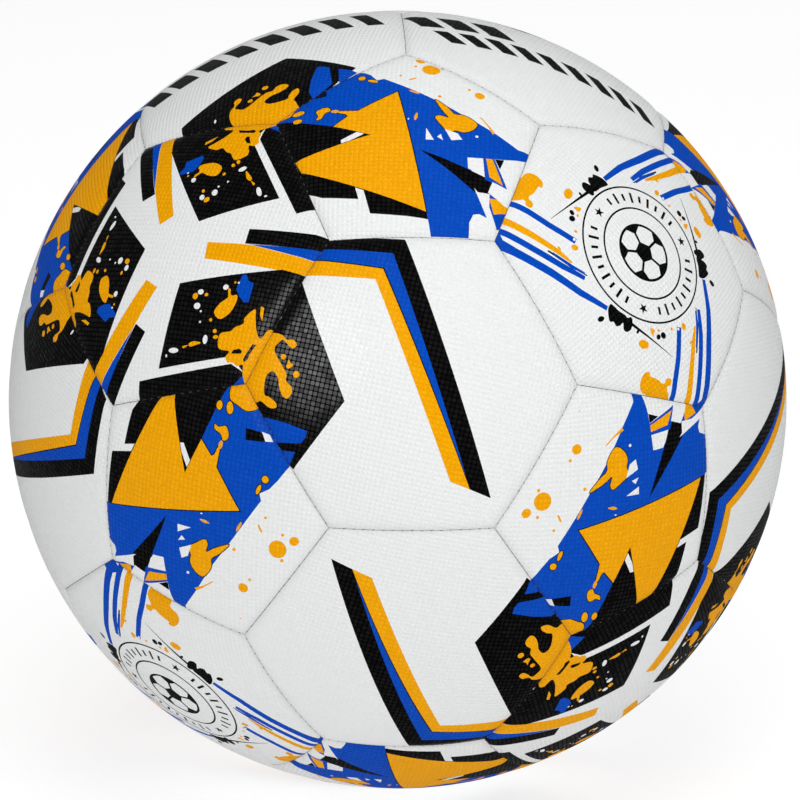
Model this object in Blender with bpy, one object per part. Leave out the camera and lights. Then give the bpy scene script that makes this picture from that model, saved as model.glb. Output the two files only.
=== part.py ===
"""Futsal ball: 32 sewn cover panels, their seam thread, a textile carcass, a butyl
bladder with its patches and low-bounce filler, and a needle valve.

The frame's origin is the ball's centre. X, Y and Z each run through the middle of a seam
between two hexagons, and the valve is in the middle of one hexagon at the back.
Lengths are in metres.
"""

import math

import bmesh
import bpy
from mathutils import Matrix, Vector

# --- driving dimensions -------------------------------------------------------------------
MM = 0.001
CIRCUMFERENCE = 630 * MM
BALL_RADIUS = CIRCUMFERENCE / (2 * math.pi)

SEAM_GAP = 0.3 * MM                 # free width between two hems
CLEARANCE = 0.3 * MM                # free width between other touching pieces
GROOVE_DEPTH = 1.1 * MM             # how far the cover dips at a seam
SHOULDER_INSET = 1.3 * MM           # rounded shoulder beside the seam
SHOULDER_DROP = 0.3 * MM
CROWN_INSET = 4.5 * MM              # from here inwards the cover is at full radius
CROWN_RINGS = 2                     # rings between the crown's edge and the panel's middle
LAMINATE = 3.0 * MM                 # skin, foam and textile backing together
HEM_DEPTH = 5.6 * MM                # the turned-in edge reaches this far below the surface
HEM_STRAIGHT = 4.4 * MM             # the hems lie side by side down to here
HEM_BEVEL_INSET = 1.3 * MM          # below that they part, which makes room for the thread
HEM_INNER_INSET = 2.5 * MM
STEPS_PER_SEAM = 3                  # chords along each seam

THREAD_TOP = 4.85 * MM              # depth below the surface
THREAD_BOTTOM = 5.55 * MM
THREAD_TOP_HALF = 0.2 * MM
THREAD_BOTTOM_HALF = 0.85 * MM

CARCASS_DEPTH = 6.3 * MM
CARCASS_WALL = 1.0 * MM
BLADDER_CLEARANCE = 0.4 * MM        # the facets of two shells need a little more
BLADDER_WALL = 1.2 * MM
PATCH_WALL = 1.0 * MM
BALANCE_PATCH_WALL = 4.0 * MM
SHELL_SEGMENTS = 24
SHELL_BAND = math.radians(15)
POLE_BANDS = (5.5, 10)              # degrees: finer rings round the valve
FAR_PATCH_EDGE = math.radians(172)
VALVE_PATCH_SPAN = (6.5, 10, 13)    # degrees from the valve's axis

VALVE_RECESS = 0.6 * MM             # the lip lies this far below the cover
VALVE_HOLE_RADIUS = 4.2 * MM
VALVE_STEM_RADIUS = 3.9 * MM
VALVE_BORE_RADIUS = 2.3 * MM
VALVE_CORE_RADIUS = 2.0 * MM
VALVE_BORE_DEPTH = 14.5 * MM
VALVE_LENGTH = 20.0 * MM
VALVE_PASSAGE_RADIUS = 0.8 * MM
VALVE_FLANGE_RADIUS = 8.2 * MM
VALVE_FLANGE_WALL = 1.4 * MM
FLANGE_DROP = 0.9 * MM              # below the carcass, whose underside is curved
VALVE_TIP_RADIUS = 3.2 * MM
VALVE_ROOT_RADIUS = 4.6 * MM
CORE_RECESS = 0.9 * MM
CORE_DIMPLE_RADIUS = 0.9 * MM
CORE_DIMPLE_DEPTH = 1.7 * MM
CORE_TAPER_RADIUS = 1.4 * MM
CORE_TAPER = 2.2 * MM
CARCASS_HOLE_RADIUS = 5.0 * MM
VALVE_SEGMENTS = 24

FILLER_DEPTH = 12.0 * MM            # its underside lies this far below the cover
FILLER_SPAN = math.radians(36)
FILLER_THICKNESS = 14.0 * MM
FILLER_RINGS = 4
FILLER_SEGMENTS = 20

# --- the ball's layout ----------------------------------------------------------------------
GOLDEN = (1 + math.sqrt(5)) / 2
VALVE_AXIS = Vector((0, GOLDEN, -1 / GOLDEN)).normalized()
DOWN = Vector((0, 0, -1))
MATCH = 0.001                       # directions closer than this are the same one
BALL_NAME = "futsal_ball"


def star_centres():
    """Directions of the twelve pentagons: the corners of an icosahedron."""
    corners = []
    for a in (1, -1):
        for b in (GOLDEN, -GOLDEN):
            corners += [Vector((0, a, b)), Vector((a, b, 0)), Vector((b, 0, a))]
    return corners


def neighbours(corner, corners):
    edge = 2.0                      # of an icosahedron with these corners
    return [c for c in corners if abs((c - corner).length - edge) < MATCH]


def sorted_round(centre, points):
    """The points in turn round the centre, anticlockwise as seen from outside."""
    axis = centre.normalized()
    across = (points[0] - axis * points[0].dot(axis)).normalized()
    along = axis.cross(across)
    return sorted(points, key=lambda p: math.atan2(p.dot(along), p.dot(across)))


def seam_corner(near, far):
    """The corner where a pentagon cuts the icosahedron's edge at a third of its length."""
    return (near * 2 + far).normalized()


def all_panels():
    """Each panel as its middle and its corners, the pentagons first."""
    corners = star_centres()
    panels = []
    for c in corners:
        outline = [seam_corner(c, n) for n in neighbours(c, corners)]
        panels.append((c.normalized(), sorted_round(c, outline)))
    for i, a in enumerate(corners):
        near_a = neighbours(a, corners)
        for b in near_a:
            for c in near_a:
                later = corners.index(b) > i and corners.index(c) > corners.index(b)
                if later and b in neighbours(c, corners):
                    trio = (a, b, c)
                    outline = [seam_corner(p, q) for p in trio for q in trio if p is not q]
                    middle = (a + b + c).normalized()
                    panels.append((middle, sorted_round(middle, outline)))
    return panels


def hexagon_kind(middle):
    """Print family of a hexagon: the eight on the cube's diagonals alternate."""
    on_diagonal = min(abs(x) for x in middle) > MATCH
    if not on_diagonal:
        return "chevron"
    return "block" if middle.x * middle.y * middle.z > 0 else "ring"


# --- mesh helpers ---------------------------------------------------------------------------
def cover_material(name, colour, roughness, metallic=0.0):
    material = bpy.data.materials.new(name)
    material.use_nodes = True
    shader = material.node_tree.nodes["Principled BSDF"]
    shader.inputs["Base Color"].default_value = (*colour, 1.0)
    shader.inputs["Roughness"].default_value = roughness
    shader.inputs["Metallic"].default_value = metallic
    return material


def finish_node(name, bm, material, parent):
    """Turn a closed mesh into a named object that hangs under the ball's empty."""
    bmesh.ops.recalc_face_normals(bm, faces=bm.faces)
    mesh = bpy.data.meshes.new(name)
    bm.to_mesh(mesh)
    bm.free()
    mesh.shade_smooth()
    mesh.set_sharp_from_angle(angle=math.radians(30))
    mesh.materials.append(material)
    node = bpy.data.objects.new(name, mesh)
    node.parent = parent
    bpy.context.scene.collection.objects.link(node)
    return node


def bridge(bm, loop_a, loop_b):
    """A band of quads between two closed loops with the same number of points."""
    count = len(loop_a)
    for i in range(count):
        j = (i + 1) % count
        bm.faces.new((loop_a[i], loop_a[j], loop_b[j], loop_b[i]))


def fan(bm, loop, tip):
    for i, vert in enumerate(loop):
        bm.faces.new((vert, loop[(i + 1) % len(loop)], tip))


def panel_outline(middle, corners, inset, radius):
    """Points along a panel's edge, moved inwards by inset, at the given radius.

    The outline is drawn on the plane that touches the ball at the panel's middle, where
    every seam is a straight line, and thrown back on the sphere.
    """
    flat = [c / c.dot(middle) - middle for c in corners]
    edge_middle = (flat[0] + flat[1]) / 2
    half_width = math.atan(edge_middle.length)
    shrink = math.tan(half_width - inset / BALL_RADIUS) / math.tan(half_width)
    points = []
    for i, start in enumerate(flat):
        end = flat[(i + 1) % len(flat)]
        for step in range(STEPS_PER_SEAM):
            place = start.lerp(end, step / STEPS_PER_SEAM) * shrink
            points.append((middle + place).normalized() * radius)
    return points


def half_width_of(middle, corners):
    """Length of the cover from a panel's middle to the middle of its edge."""
    edge_middle = (corners[0] + corners[1]).normalized()
    return BALL_RADIUS * middle.angle(edge_middle)


# --- the cover ------------------------------------------------------------------------------
def panel_loops(bm, middle, corners, first_inset, hole_radius):
    """Loops of one panel from its middle over the top, round the hem and back below."""
    reach = half_width_of(middle, corners)
    crown = [
        reach - (reach - CROWN_INSET) * (k + 1) / (CROWN_RINGS + 1)
        for k in range(CROWN_RINGS)
    ]
    profile = [(inset, BALL_RADIUS) for inset in crown]
    profile += [
        (CROWN_INSET, BALL_RADIUS),
        (SHOULDER_INSET, BALL_RADIUS - SHOULDER_DROP),
        (first_inset, BALL_RADIUS - GROOVE_DEPTH),
        (first_inset, BALL_RADIUS - HEM_STRAIGHT),
        (HEM_BEVEL_INSET, BALL_RADIUS - HEM_DEPTH),
        (HEM_INNER_INSET, BALL_RADIUS - HEM_DEPTH),
        (HEM_INNER_INSET, BALL_RADIUS - LAMINATE),
        (reach / 2, BALL_RADIUS - LAMINATE),
    ]
    loops = [
        [bm.verts.new(p) for p in panel_outline(middle, corners, inset, radius)]
        for inset, radius in profile
    ]
    if hole_radius:
        rims = []
        for radius in (BALL_RADIUS, BALL_RADIUS - LAMINATE):
            ring = [(v.co - middle * v.co.dot(middle)).normalized() for v in loops[0]]
            rims.append([bm.verts.new(middle * radius + d * hole_radius) for d in ring])
        loops = [rims[0], *loops, rims[1]]
    return loops


def make_panel(name, middle, corners, material, parent, hole_radius=0.0):
    """One cover panel: a curved laminate with its edge turned in as a hem."""
    bm = bmesh.new()
    loops = panel_loops(bm, middle, corners, SEAM_GAP / 2, hole_radius)
    for loop_a, loop_b in zip(loops, loops[1:]):
        bridge(bm, loop_a, loop_b)
    if hole_radius:
        bridge(bm, loops[-1], loops[0])
    else:
        fan(bm, loops[0], bm.verts.new(middle * BALL_RADIUS))
        fan(bm, loops[-1], bm.verts.new(middle * (BALL_RADIUS - LAMINATE)))
    return finish_node(name, bm, material, parent)


def seam_strips(bm, panels, rails):
    """Bridge the rails of neighbouring panels, and close the corner where three meet."""
    meeting = {}
    sides = {}
    for index, (middle, corners) in enumerate(panels):
        count = len(corners)
        for k, corner in enumerate(corners):
            start = corner_key(corner)
            end = corner_key(corners[(k + 1) % count])
            first = k * STEPS_PER_SEAM
            rail = [
                rails[index][(first + step) % len(rails[index])]
                for step in range(STEPS_PER_SEAM + 1)
            ]
            sides[start, end] = rail
            meeting.setdefault(start, []).append(rails[index][first])
    for (start, end), rail in sides.items():
        if start < end:
            facing = list(reversed(sides[end, start]))
            for a, b, c, d in zip(rail, rail[1:], facing[1:], facing):
                bm.faces.new((a, b, c, d))
    for trio in meeting.values():
        bm.faces.new(trio)


def corner_key(corner):
    return tuple(round(x, 5) for x in corner)


def make_seam_thread(panels, material, parent):
    """The thread in the wedge under the hems: one net that runs along every seam."""
    bm = bmesh.new()
    levels = []
    for depth, half in ((THREAD_TOP, THREAD_TOP_HALF), (THREAD_BOTTOM, THREAD_BOTTOM_HALF)):
        radius = BALL_RADIUS - depth
        levels.append([
            [bm.verts.new(p) for p in panel_outline(middle, corners, half, radius)]
            for middle, corners in panels
        ])
    for top, bottom in zip(*levels):
        bridge(bm, top, bottom)
    for rails in levels:
        seam_strips(bm, panels, rails)
    return finish_node("seam_thread", bm, material, parent)


# --- turned pieces ----------------------------------------------------------------------------
def turned(name, profile, axis, segments, material, parent, ring=False):
    """A solid turned about an axis through the ball's centre.

    The profile holds (distance from the axis, height along it). A profile that is not a
    ring starts and ends on the axis.
    """
    bm = bmesh.new()
    turn = axis.to_track_quat("Z", "X").to_matrix()
    loops = []
    for off, height in profile:
        if off == 0:
            loops.append([bm.verts.new(turn @ Vector((0, 0, height)))])
            continue
        angles = [2 * math.pi * k / segments for k in range(segments)]
        spots = [Vector((off * math.cos(a), off * math.sin(a), height)) for a in angles]
        loops.append([bm.verts.new(turn @ spot) for spot in spots])
    pairs = list(zip(loops, loops[1:]))
    if ring:
        pairs.append((loops[-1], loops[0]))
    for loop_a, loop_b in pairs:
        if len(loop_a) == 1:
            fan(bm, loop_b, loop_a[0])
        elif len(loop_b) == 1:
            fan(bm, loop_a, loop_b[0])
        else:
            bridge(bm, loop_a, loop_b)
    return finish_node(name, bm, material, parent)


def arc(radius, angles):
    return [(radius * math.sin(a), radius * math.cos(a)) for a in angles]


def pole(radius):
    return [(0.0, -radius)]


def shell_angles(first):
    """Rings of a round shell from its opening to the ring next to its closed pole."""
    near = [math.radians(a) for a in POLE_BANDS if math.radians(a) > first]
    bands = round(math.pi / SHELL_BAND)
    far = [SHELL_BAND * k for k in range(1, bands)]
    return [first, *near, *far, FAR_PATCH_EDGE]


def make_shell(name, outer, wall, opening_angle, material, parent):
    """A round shell with one opening at the valve, closed at the far pole.

    It is turned as one open strip: along the outside to the far pole, and back inside.
    """
    angles = shell_angles(opening_angle)
    inner = outer - wall
    bm = bmesh.new()
    turn = VALVE_AXIS.to_track_quat("Z", "X").to_matrix()
    sheets = []
    for radius in (outer, inner):
        loops = []
        for off, height in arc(radius, angles):
            turns = [2 * math.pi * k / SHELL_SEGMENTS for k in range(SHELL_SEGMENTS)]
            spots = [Vector((off * math.cos(a), off * math.sin(a), height)) for a in turns]
            loops.append([bm.verts.new(turn @ spot) for spot in spots])
        for loop_a, loop_b in zip(loops, loops[1:]):
            bridge(bm, loop_a, loop_b)
        fan(bm, loops[-1], bm.verts.new(turn @ Vector((0, 0, -radius))))
        sheets.append(loops[0])
    bridge(bm, *sheets)
    return finish_node(name, bm, material, parent)


# --- the valve --------------------------------------------------------------------------------
def make_valve_body(material, parent):
    lip = BALL_RADIUS - VALVE_RECESS
    floor = BALL_RADIUS - VALVE_BORE_DEPTH
    tip = BALL_RADIUS - VALVE_LENGTH
    carcass_inside = BALL_RADIUS - CARCASS_DEPTH - CARCASS_WALL
    flange_top = carcass_inside - FLANGE_DROP
    flange_bottom = flange_top - VALVE_FLANGE_WALL
    profile = [
        (VALVE_BORE_RADIUS, lip),
        (VALVE_STEM_RADIUS, lip),
        (VALVE_STEM_RADIUS, carcass_inside),
        (VALVE_ROOT_RADIUS, flange_top),
        (VALVE_FLANGE_RADIUS, flange_top),
        (VALVE_FLANGE_RADIUS, flange_bottom),
        (VALVE_ROOT_RADIUS, flange_bottom - VALVE_FLANGE_WALL),
        (VALVE_TIP_RADIUS, tip),
        (VALVE_PASSAGE_RADIUS, tip),
        (VALVE_PASSAGE_RADIUS, floor),
        (VALVE_BORE_RADIUS, floor),
    ]
    return turned("valve_body", profile, VALVE_AXIS, VALVE_SEGMENTS, material, parent, ring=True)


def make_valve_core(material, parent):
    top = BALL_RADIUS - CORE_RECESS
    bottom = BALL_RADIUS - VALVE_BORE_DEPTH + CLEARANCE
    profile = [
        (0.0, top - CORE_DIMPLE_DEPTH),
        (CORE_DIMPLE_RADIUS, top),
        (VALVE_CORE_RADIUS, top),
        (VALVE_CORE_RADIUS, bottom + CORE_TAPER),
        (CORE_TAPER_RADIUS, bottom),
        (0.0, bottom),
    ]
    return turned("valve_core", profile, VALVE_AXIS, VALVE_SEGMENTS, material, parent)


# --- the bladder's patches and filler -----------------------------------------------------------
def make_valve_patch(outer, material, parent):
    """A flat ring of rubber inside the bladder, round the valve."""
    angles = [math.radians(a) for a in VALVE_PATCH_SPAN]
    profile = arc(outer, angles) + arc(outer - PATCH_WALL, reversed(angles))
    return turned("valve_patch", profile, VALVE_AXIS, SHELL_SEGMENTS, material, parent, ring=True)


def make_balance_patch(outer, material, parent):
    """A thick disc inside the bladder, opposite the valve, which keeps the ball in balance."""
    profile = pole(outer) + arc(outer, [FAR_PATCH_EDGE])
    profile += arc(outer - BALANCE_PATCH_WALL, [FAR_PATCH_EDGE])
    profile += pole(outer - BALANCE_PATCH_WALL)
    return turned("balance_patch", profile, VALVE_AXIS, SHELL_SEGMENTS, material, parent)


def make_filler(material, parent):
    """The soft wad that lies at the bottom of the bladder, thick in the middle."""
    outer = BALL_RADIUS - FILLER_DEPTH
    spans = [FILLER_SPAN * k / FILLER_RINGS for k in range(FILLER_RINGS + 1)]
    below = [(0.0, outer)] + arc(outer, spans[1:])
    above = []
    for a in spans[-2:0:-1]:
        swell = FILLER_THICKNESS * math.cos(a / FILLER_SPAN * math.pi / 2)
        above += arc(outer - swell, [a])
    profile = below + above + [(0.0, outer - FILLER_THICKNESS)]
    return turned("bounce_filler", profile, DOWN, FILLER_SEGMENTS, material, parent)


# --- the whole ball -----------------------------------------------------------------------------
def make_cover(panels, parent):
    finishes = {
        "star": cover_material("cover_blue", (0.0, 0.07, 0.62), 0.42),
        "chevron": cover_material("cover_white", (0.82, 0.83, 0.84), 0.42),
        "ring": cover_material("cover_ring_white", (0.80, 0.81, 0.83), 0.42),
        "block": cover_material("cover_black", (0.02, 0.02, 0.025), 0.42),
    }
    made = dict.fromkeys(finishes, 0)
    for middle, corners in panels:
        if (middle - VALVE_AXIS).length < MATCH:
            white = finishes["chevron"]
            make_panel("hex_panel_valve", middle, corners, white, parent, VALVE_HOLE_RADIUS)
            continue
        pentagon = len(corners) == 5
        kind = "star" if pentagon else hexagon_kind(middle)
        made[kind] += 1
        shape = "pent" if pentagon else "hex"
        name = f"{shape}_panel_{kind}_{made[kind]:02d}"
        make_panel(name, middle, corners, finishes[kind], parent)


def make_inside(parent):
    textile = cover_material("carcass_textile", (0.62, 0.60, 0.55), 0.85)
    butyl = cover_material("butyl_black", (0.02, 0.02, 0.02), 0.6)
    rubber = cover_material("valve_rubber", (0.03, 0.03, 0.03), 0.55)
    core = cover_material("valve_core_rubber", (0.45, 0.43, 0.38), 0.6)
    patch = cover_material("patch_rubber", (0.06, 0.06, 0.06), 0.65)
    foam = cover_material("filler_foam", (0.75, 0.70, 0.52), 0.9)

    carcass_outer = BALL_RADIUS - CARCASS_DEPTH
    bladder_outer = carcass_outer - CARCASS_WALL - BLADDER_CLEARANCE
    patch_outer = bladder_outer - BLADDER_WALL - CLEARANCE
    carcass_opening = math.asin(CARCASS_HOLE_RADIUS / carcass_outer)
    bladder_opening = math.radians(POLE_BANDS[0])
    make_shell("textile_carcass", carcass_outer, CARCASS_WALL, carcass_opening, textile, parent)
    make_shell("bladder", bladder_outer, BLADDER_WALL, bladder_opening, butyl, parent)
    make_valve_patch(patch_outer, patch, parent)
    make_balance_patch(patch_outer, patch, parent)
    make_valve_body(rubber, parent)
    make_valve_core(core, parent)
    make_filler(foam, parent)


def main():
    for old in list(bpy.data.objects):
        bpy.data.objects.remove(old)
    ball = bpy.data.objects.new(BALL_NAME, None)
    ball.matrix_world = Matrix.Identity(4)
    bpy.context.scene.collection.objects.link(ball)
    panels = all_panels()
    make_cover(panels, ball)
    thread = cover_material("thread_grey", (0.30, 0.30, 0.31), 0.7)
    make_seam_thread(panels, thread, ball)
    make_inside(ball)


main()
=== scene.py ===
# %% [markdown]
# # A printed, sewn futsal ball
#
# The real ball is 32 panels of embossed polyurethane, printed flat, cut out and sewn edge
# to edge over a textile carcass with a rubber bladder in it. This lesson dresses the
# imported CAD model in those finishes. It goes in the order of the work: the frame, the
# studio, the layout of the panels, the inks, the prints, the panels themselves, the
# stitches, the valve and what lies inside.
#
# ## The frame
#
# The CAD model is the fixed frame. It could be measured with a ruler and typed in again,
# but then the two would drift apart, so every size below is read from its nodes: the
# ball's radius is how far the farthest point of a cover panel lies from the centre.

# %% Load the frame and measure the ball
import math

import bmesh
import bpy
import numpy as np
from mathutils import Matrix, Vector
from mathutils.geometry import delaunay_2d_cdt


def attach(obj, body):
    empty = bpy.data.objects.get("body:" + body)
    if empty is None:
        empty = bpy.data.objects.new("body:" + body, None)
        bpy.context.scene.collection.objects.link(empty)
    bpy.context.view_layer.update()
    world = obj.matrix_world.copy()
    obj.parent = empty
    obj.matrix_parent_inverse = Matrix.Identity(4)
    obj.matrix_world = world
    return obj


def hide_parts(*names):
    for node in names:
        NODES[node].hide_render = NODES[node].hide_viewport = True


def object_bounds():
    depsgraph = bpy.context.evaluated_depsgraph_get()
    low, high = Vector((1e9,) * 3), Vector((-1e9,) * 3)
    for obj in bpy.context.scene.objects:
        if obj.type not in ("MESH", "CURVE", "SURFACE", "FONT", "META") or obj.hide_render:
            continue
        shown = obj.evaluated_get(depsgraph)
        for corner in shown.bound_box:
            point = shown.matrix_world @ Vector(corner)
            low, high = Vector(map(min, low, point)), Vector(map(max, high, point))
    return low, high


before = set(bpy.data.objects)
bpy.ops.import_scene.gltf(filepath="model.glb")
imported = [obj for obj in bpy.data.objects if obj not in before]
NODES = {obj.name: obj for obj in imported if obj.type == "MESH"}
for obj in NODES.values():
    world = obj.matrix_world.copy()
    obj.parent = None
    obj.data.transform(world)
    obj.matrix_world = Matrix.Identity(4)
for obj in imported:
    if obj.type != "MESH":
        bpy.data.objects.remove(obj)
cad_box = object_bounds()

MM = 0.001
COVER_NODES = sorted(n for n in NODES if n.startswith(("hex_panel", "pent_panel")))


def farthest(node):
    return max(v.co.length for v in node.data.vertices)


BALL = max(farthest(NODES[n]) for n in COVER_NODES) / MM
print(f"{len(COVER_NODES)} cover panels, ball radius {BALL:.2f} mm")

# %% [markdown]
# ## The studio
#
# A ball keeps its round outline when it is seen from far off through a long lens. The
# camera's place is worked out from an angle round the ball, an angle above the horizon
# and a distance, which are easier to judge than three coordinates. A small roll and
# shift stand for a camera that isn't held quite straight.

# %% The camera
CAMERA_AZIMUTH = math.radians(-2.28)
CAMERA_ELEVATION = math.radians(18.57)
CAMERA_ROLL = math.radians(0.88)
CAMERA_DISTANCE = 15.04 * BALL * MM
CAMERA_LENS = 262.7
CAMERA_SHIFT = (0.0029, -0.0006)

scene = bpy.context.scene


def direction(azimuth, elevation):
    """From the ball to a point round it: azimuth 0 is the front, +90 degrees its right."""
    level = math.cos(elevation)
    return Vector((math.sin(azimuth) * level, -math.cos(azimuth) * level, math.sin(elevation)))


def make_camera():
    """A long lens, a few metres away."""
    data = bpy.data.cameras.new("camera")
    data.lens = CAMERA_LENS
    data.shift_x, data.shift_y = CAMERA_SHIFT
    data.clip_start, data.clip_end = 0.1, 50
    camera = bpy.data.objects.new("camera", data)
    back = direction(CAMERA_AZIMUTH, CAMERA_ELEVATION)
    turn = (-back).to_track_quat("-Z", "Y").to_matrix() @ Matrix.Rotation(CAMERA_ROLL, 3, "Z")
    camera.matrix_world = Matrix.Translation(back * CAMERA_DISTANCE) @ turn.to_4x4()
    scene.collection.objects.link(camera)
    scene.camera = camera
    return camera


make_camera()
print(f"camera {CAMERA_DISTANCE:.2f} m away")


# %% [markdown]
# ## Light
#
# White goods on white need soft light from everywhere and a little more from one side,
# or their edges vanish. Large area lamps do that: the bigger a lamp, the softer its
# shadow. Every lamp would also show as a bright disc in the lacquer, so only the key
# lamp is left visible to it, and the dark inks stay dark.

# %% The lamps and the world
LAMPS = {
    # name: (azimuth and elevation in degrees, distance and width in metres, power in watts)
    "key": (-29, 29, 1.7, 0.95, 9.5),
    "front": (-2, 50, 1.9, 1.2, 7.5),
    "side": (62, 25, 1.9, 1.2, 10.5),
    "top": (10, 84, 1.5, 1.4, 9.5),
    "back": (165, 45, 1.8, 1.4, 4),
}
MIRRORED_LAMP = "key"
WORLD_COLOUR = (0.97, 0.985, 1.0, 1.0)
WORLD_STRENGTH = 0.11


def make_lamp(name, azimuth, elevation, distance, width, power):
    """A round soft lamp that looks at the ball."""
    data = bpy.data.lights.new(name, "AREA")
    data.shape = "DISK"
    data.size = width
    data.energy = power
    lamp = bpy.data.objects.new(name, data)
    away = direction(math.radians(azimuth), math.radians(elevation))
    lamp.location = away * distance
    lamp.rotation_mode = "QUATERNION"
    lamp.rotation_quaternion = (-away).to_track_quat("-Z", "Y")
    lamp.visible_glossy = name == MIRRORED_LAMP
    scene.collection.objects.link(lamp)


def make_world():
    world = bpy.data.worlds.new("studio")
    world.use_nodes = True
    background = world.node_tree.nodes["Background"]
    background.inputs["Color"].default_value = WORLD_COLOUR
    background.inputs["Strength"].default_value = WORLD_STRENGTH
    scene.world = world


for lamp_name, lamp_facts in LAMPS.items():
    make_lamp(lamp_name, *lamp_facts)
make_world()
scene.view_settings.view_transform = "Standard"
print(f"{len(LAMPS)} lamps, {sum(facts[-1] for facts in LAMPS.values())} W")

# %% [markdown]
# ## Maths on sockets
#
# A node tree's maths is a chain of small nodes. Wired by hand it is hard to read, so a
# socket is wrapped in a class that knows Python's signs: an expression then adds its own
# Math nodes. One method makes every other kind of node: its type, its settings, which
# are set first, and then what its sockets take. It works for shaders and for Geometry
# Nodes alike.

# %% The Wire class
class Wire:
    """A node tree and one of its sockets, on which Python's signs work."""

    def __init__(self, tree, socket=None):
        self.tree = tree
        self.socket = socket

    def node(self, kind, settings=None, inputs=None, output=0):
        made = self.tree.nodes.new(kind)
        for name, value in (settings or {}).items():
            setattr(made, name, value)
        for name, value in (inputs or {}).items():
            if isinstance(value, Wire):
                self.tree.links.new(value.socket, made.inputs[name])
            else:
                made.inputs[name].default_value = value
        return Wire(self.tree, made.outputs[output])

    def maths(self, operation, *values, clamp=False):
        settings = {"operation": operation, "use_clamp": clamp}
        return self.node("ShaderNodeMath", settings, dict(enumerate(values)))

    def vectors(self, operation, *values):
        return self.node("ShaderNodeVectorMath", {"operation": operation}, dict(enumerate(values)))

    def __add__(self, other):
        return self.maths("ADD", self, other)

    def __sub__(self, other):
        return self.maths("SUBTRACT", self, other)

    def __mul__(self, other):
        return self.maths("MULTIPLY", self, other)

    def __truediv__(self, other):
        return self.maths("DIVIDE", self, other)

    def __pow__(self, other):
        return self.maths("POWER", self, other)

    def __rsub__(self, other):
        return self.maths("SUBTRACT", other, self)

    __radd__ = __add__
    __rmul__ = __mul__

    def kept_in_unit(self):
        return self.maths("ADD", self, 0.0, clamp=True)

    def eased(self):
        """0 to 1 with a soft start and end."""
        held = self.kept_in_unit()
        return held * held * (3 - 2 * held)


print("Wire knows + - * / **")

# %% [markdown]
# ## What every finish needs
#
# A finish is a Principled shader with something on its sockets. A few steps come back in
# each of them: the place on the piece, soft noise, a colour between two, and a relief as
# bump. The place is read in Object coordinates, because those stay with the piece and
# are true metres, so a size in a pattern is a real size.

# %% Helpers for finishes
def new_finish(name):
    """A fresh material: the material, its tree as a Wire, and its shader."""
    material = bpy.data.materials.new(name)
    material.use_nodes = True
    return material, Wire(material.node_tree), material.node_tree.nodes["Principled BSDF"]


def feed(shader, name, value):
    """Set a shader's socket to a constant or link a Wire to it."""
    if isinstance(value, Wire):
        value.tree.links.new(value.socket, shader.inputs[name])
    else:
        shader.inputs[name].default_value = value


def on_piece(tree):
    return tree.node("ShaderNodeTexCoord", output="Object")


def noise(tree, place, scale, detail=2.0):
    """Soft noise from 0 to 1, with about so many blotches to the metre."""
    return tree.node("ShaderNodeTexNoise", None, {"Vector": place, "Scale": scale, "Detail": detail})


def mixed(tree, share, dark, light):
    """A colour between two, by a share from 0 to 1."""
    ends = [end if isinstance(end, Wire) else (*end, 1) for end in (dark, light)]
    inputs = {0: share, 6: ends[0], 7: ends[1]}
    return tree.node("ShaderNodeMix", {"data_type": "RGBA"}, inputs, output=2)


def emboss(tree, shader, relief):
    """Show a relief in metres as bump."""
    feed(shader, "Normal", tree.node("ShaderNodeBump", None, {"Height": relief, "Distance": 1.0}))


print("helpers for finishes ready")

# %% [markdown]
# ## The floor
#
# The ball lies on a wide sheet of pale paper that glows a little, which lifts the
# shadow on white goods. The paper has a very fine tooth: noise at two sizes gives it a
# trace of that, so that it isn't one flat tone. The lacquer doesn't mirror the sheet.

# %% Make the floor
FLOOR_GLOW = 0.75
FLOOR_SIZE = 14.0            # metres
FLOOR_GAP = 0.35 * MM        # below the CAD box, because the looks are a little larger


def paper_finish():
    material, tree, shader = new_finish("paper_sweep")
    place = on_piece(tree)
    tooth = noise(tree, place, 900.0)
    cloud = noise(tree, place, 1.5)
    tone = (tooth * 0.3 + cloud * 0.7).kept_in_unit()
    feed(shader, "Base Color", mixed(tree, tone, (0.34, 0.34, 0.34), (0.37, 0.37, 0.37)))
    feed(shader, "Emission Color", mixed(tree, tone, (0.98, 0.98, 0.98), (1.0, 1.0, 1.0)))
    feed(shader, "Emission Strength", FLOOR_GLOW)
    feed(shader, "Roughness", 0.9)
    feed(shader, "Specular IOR Level", 0.1)
    return material


def make_floor():
    half = FLOOR_SIZE / 2
    level = cad_box[0].z - FLOOR_GAP
    corners = [(-half, -half, level), (half, -half, level), (half, half, level), (-half, half, level)]
    mesh = bpy.data.meshes.new("floor")
    mesh.from_pydata(corners, [], [(0, 1, 2, 3)])
    mesh.materials.append(paper_finish())
    floor = bpy.data.objects.new("floor", mesh)
    floor.visible_glossy = False
    scene.collection.objects.link(floor)
    return level


print(f"floor at {make_floor() / MM:.2f} mm")

# %% [markdown]
# ## The layout of the cover
#
# Twelve five-sided and twenty six-sided panels make a truncated icosahedron. Its corners
# could be typed in, but they follow from one number: an icosahedron's tips have the
# golden ratio in them, and every corner lies a third of the way along one of its edges.
# By print there are four kinds of panel. Each is drawn flat, on the plane that touches
# the ball at the panel's middle, where every seam is a straight line.

# %% Corners, kinds and outlines
GOLDEN = (1 + math.sqrt(5)) / 2
KIND_MIDDLES = {
    "chevron": Vector((0, -GOLDEN, 1 / GOLDEN)).normalized(),
    "star": Vector((-1, -GOLDEN, 0)).normalized(),
    "ring": Vector((1, -1, 1)).normalized(),
    "block": Vector((-1, -1, 1)).normalized(),
}
KIND_SIDES = {"chevron": 6, "star": 5, "ring": 6, "block": 6}
EDGE_LENGTH = 2              # of the icosahedron whose tips are (0, 1, GOLDEN) and so on
NEAR = 0.01                  # slack when lengths and directions are compared


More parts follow.
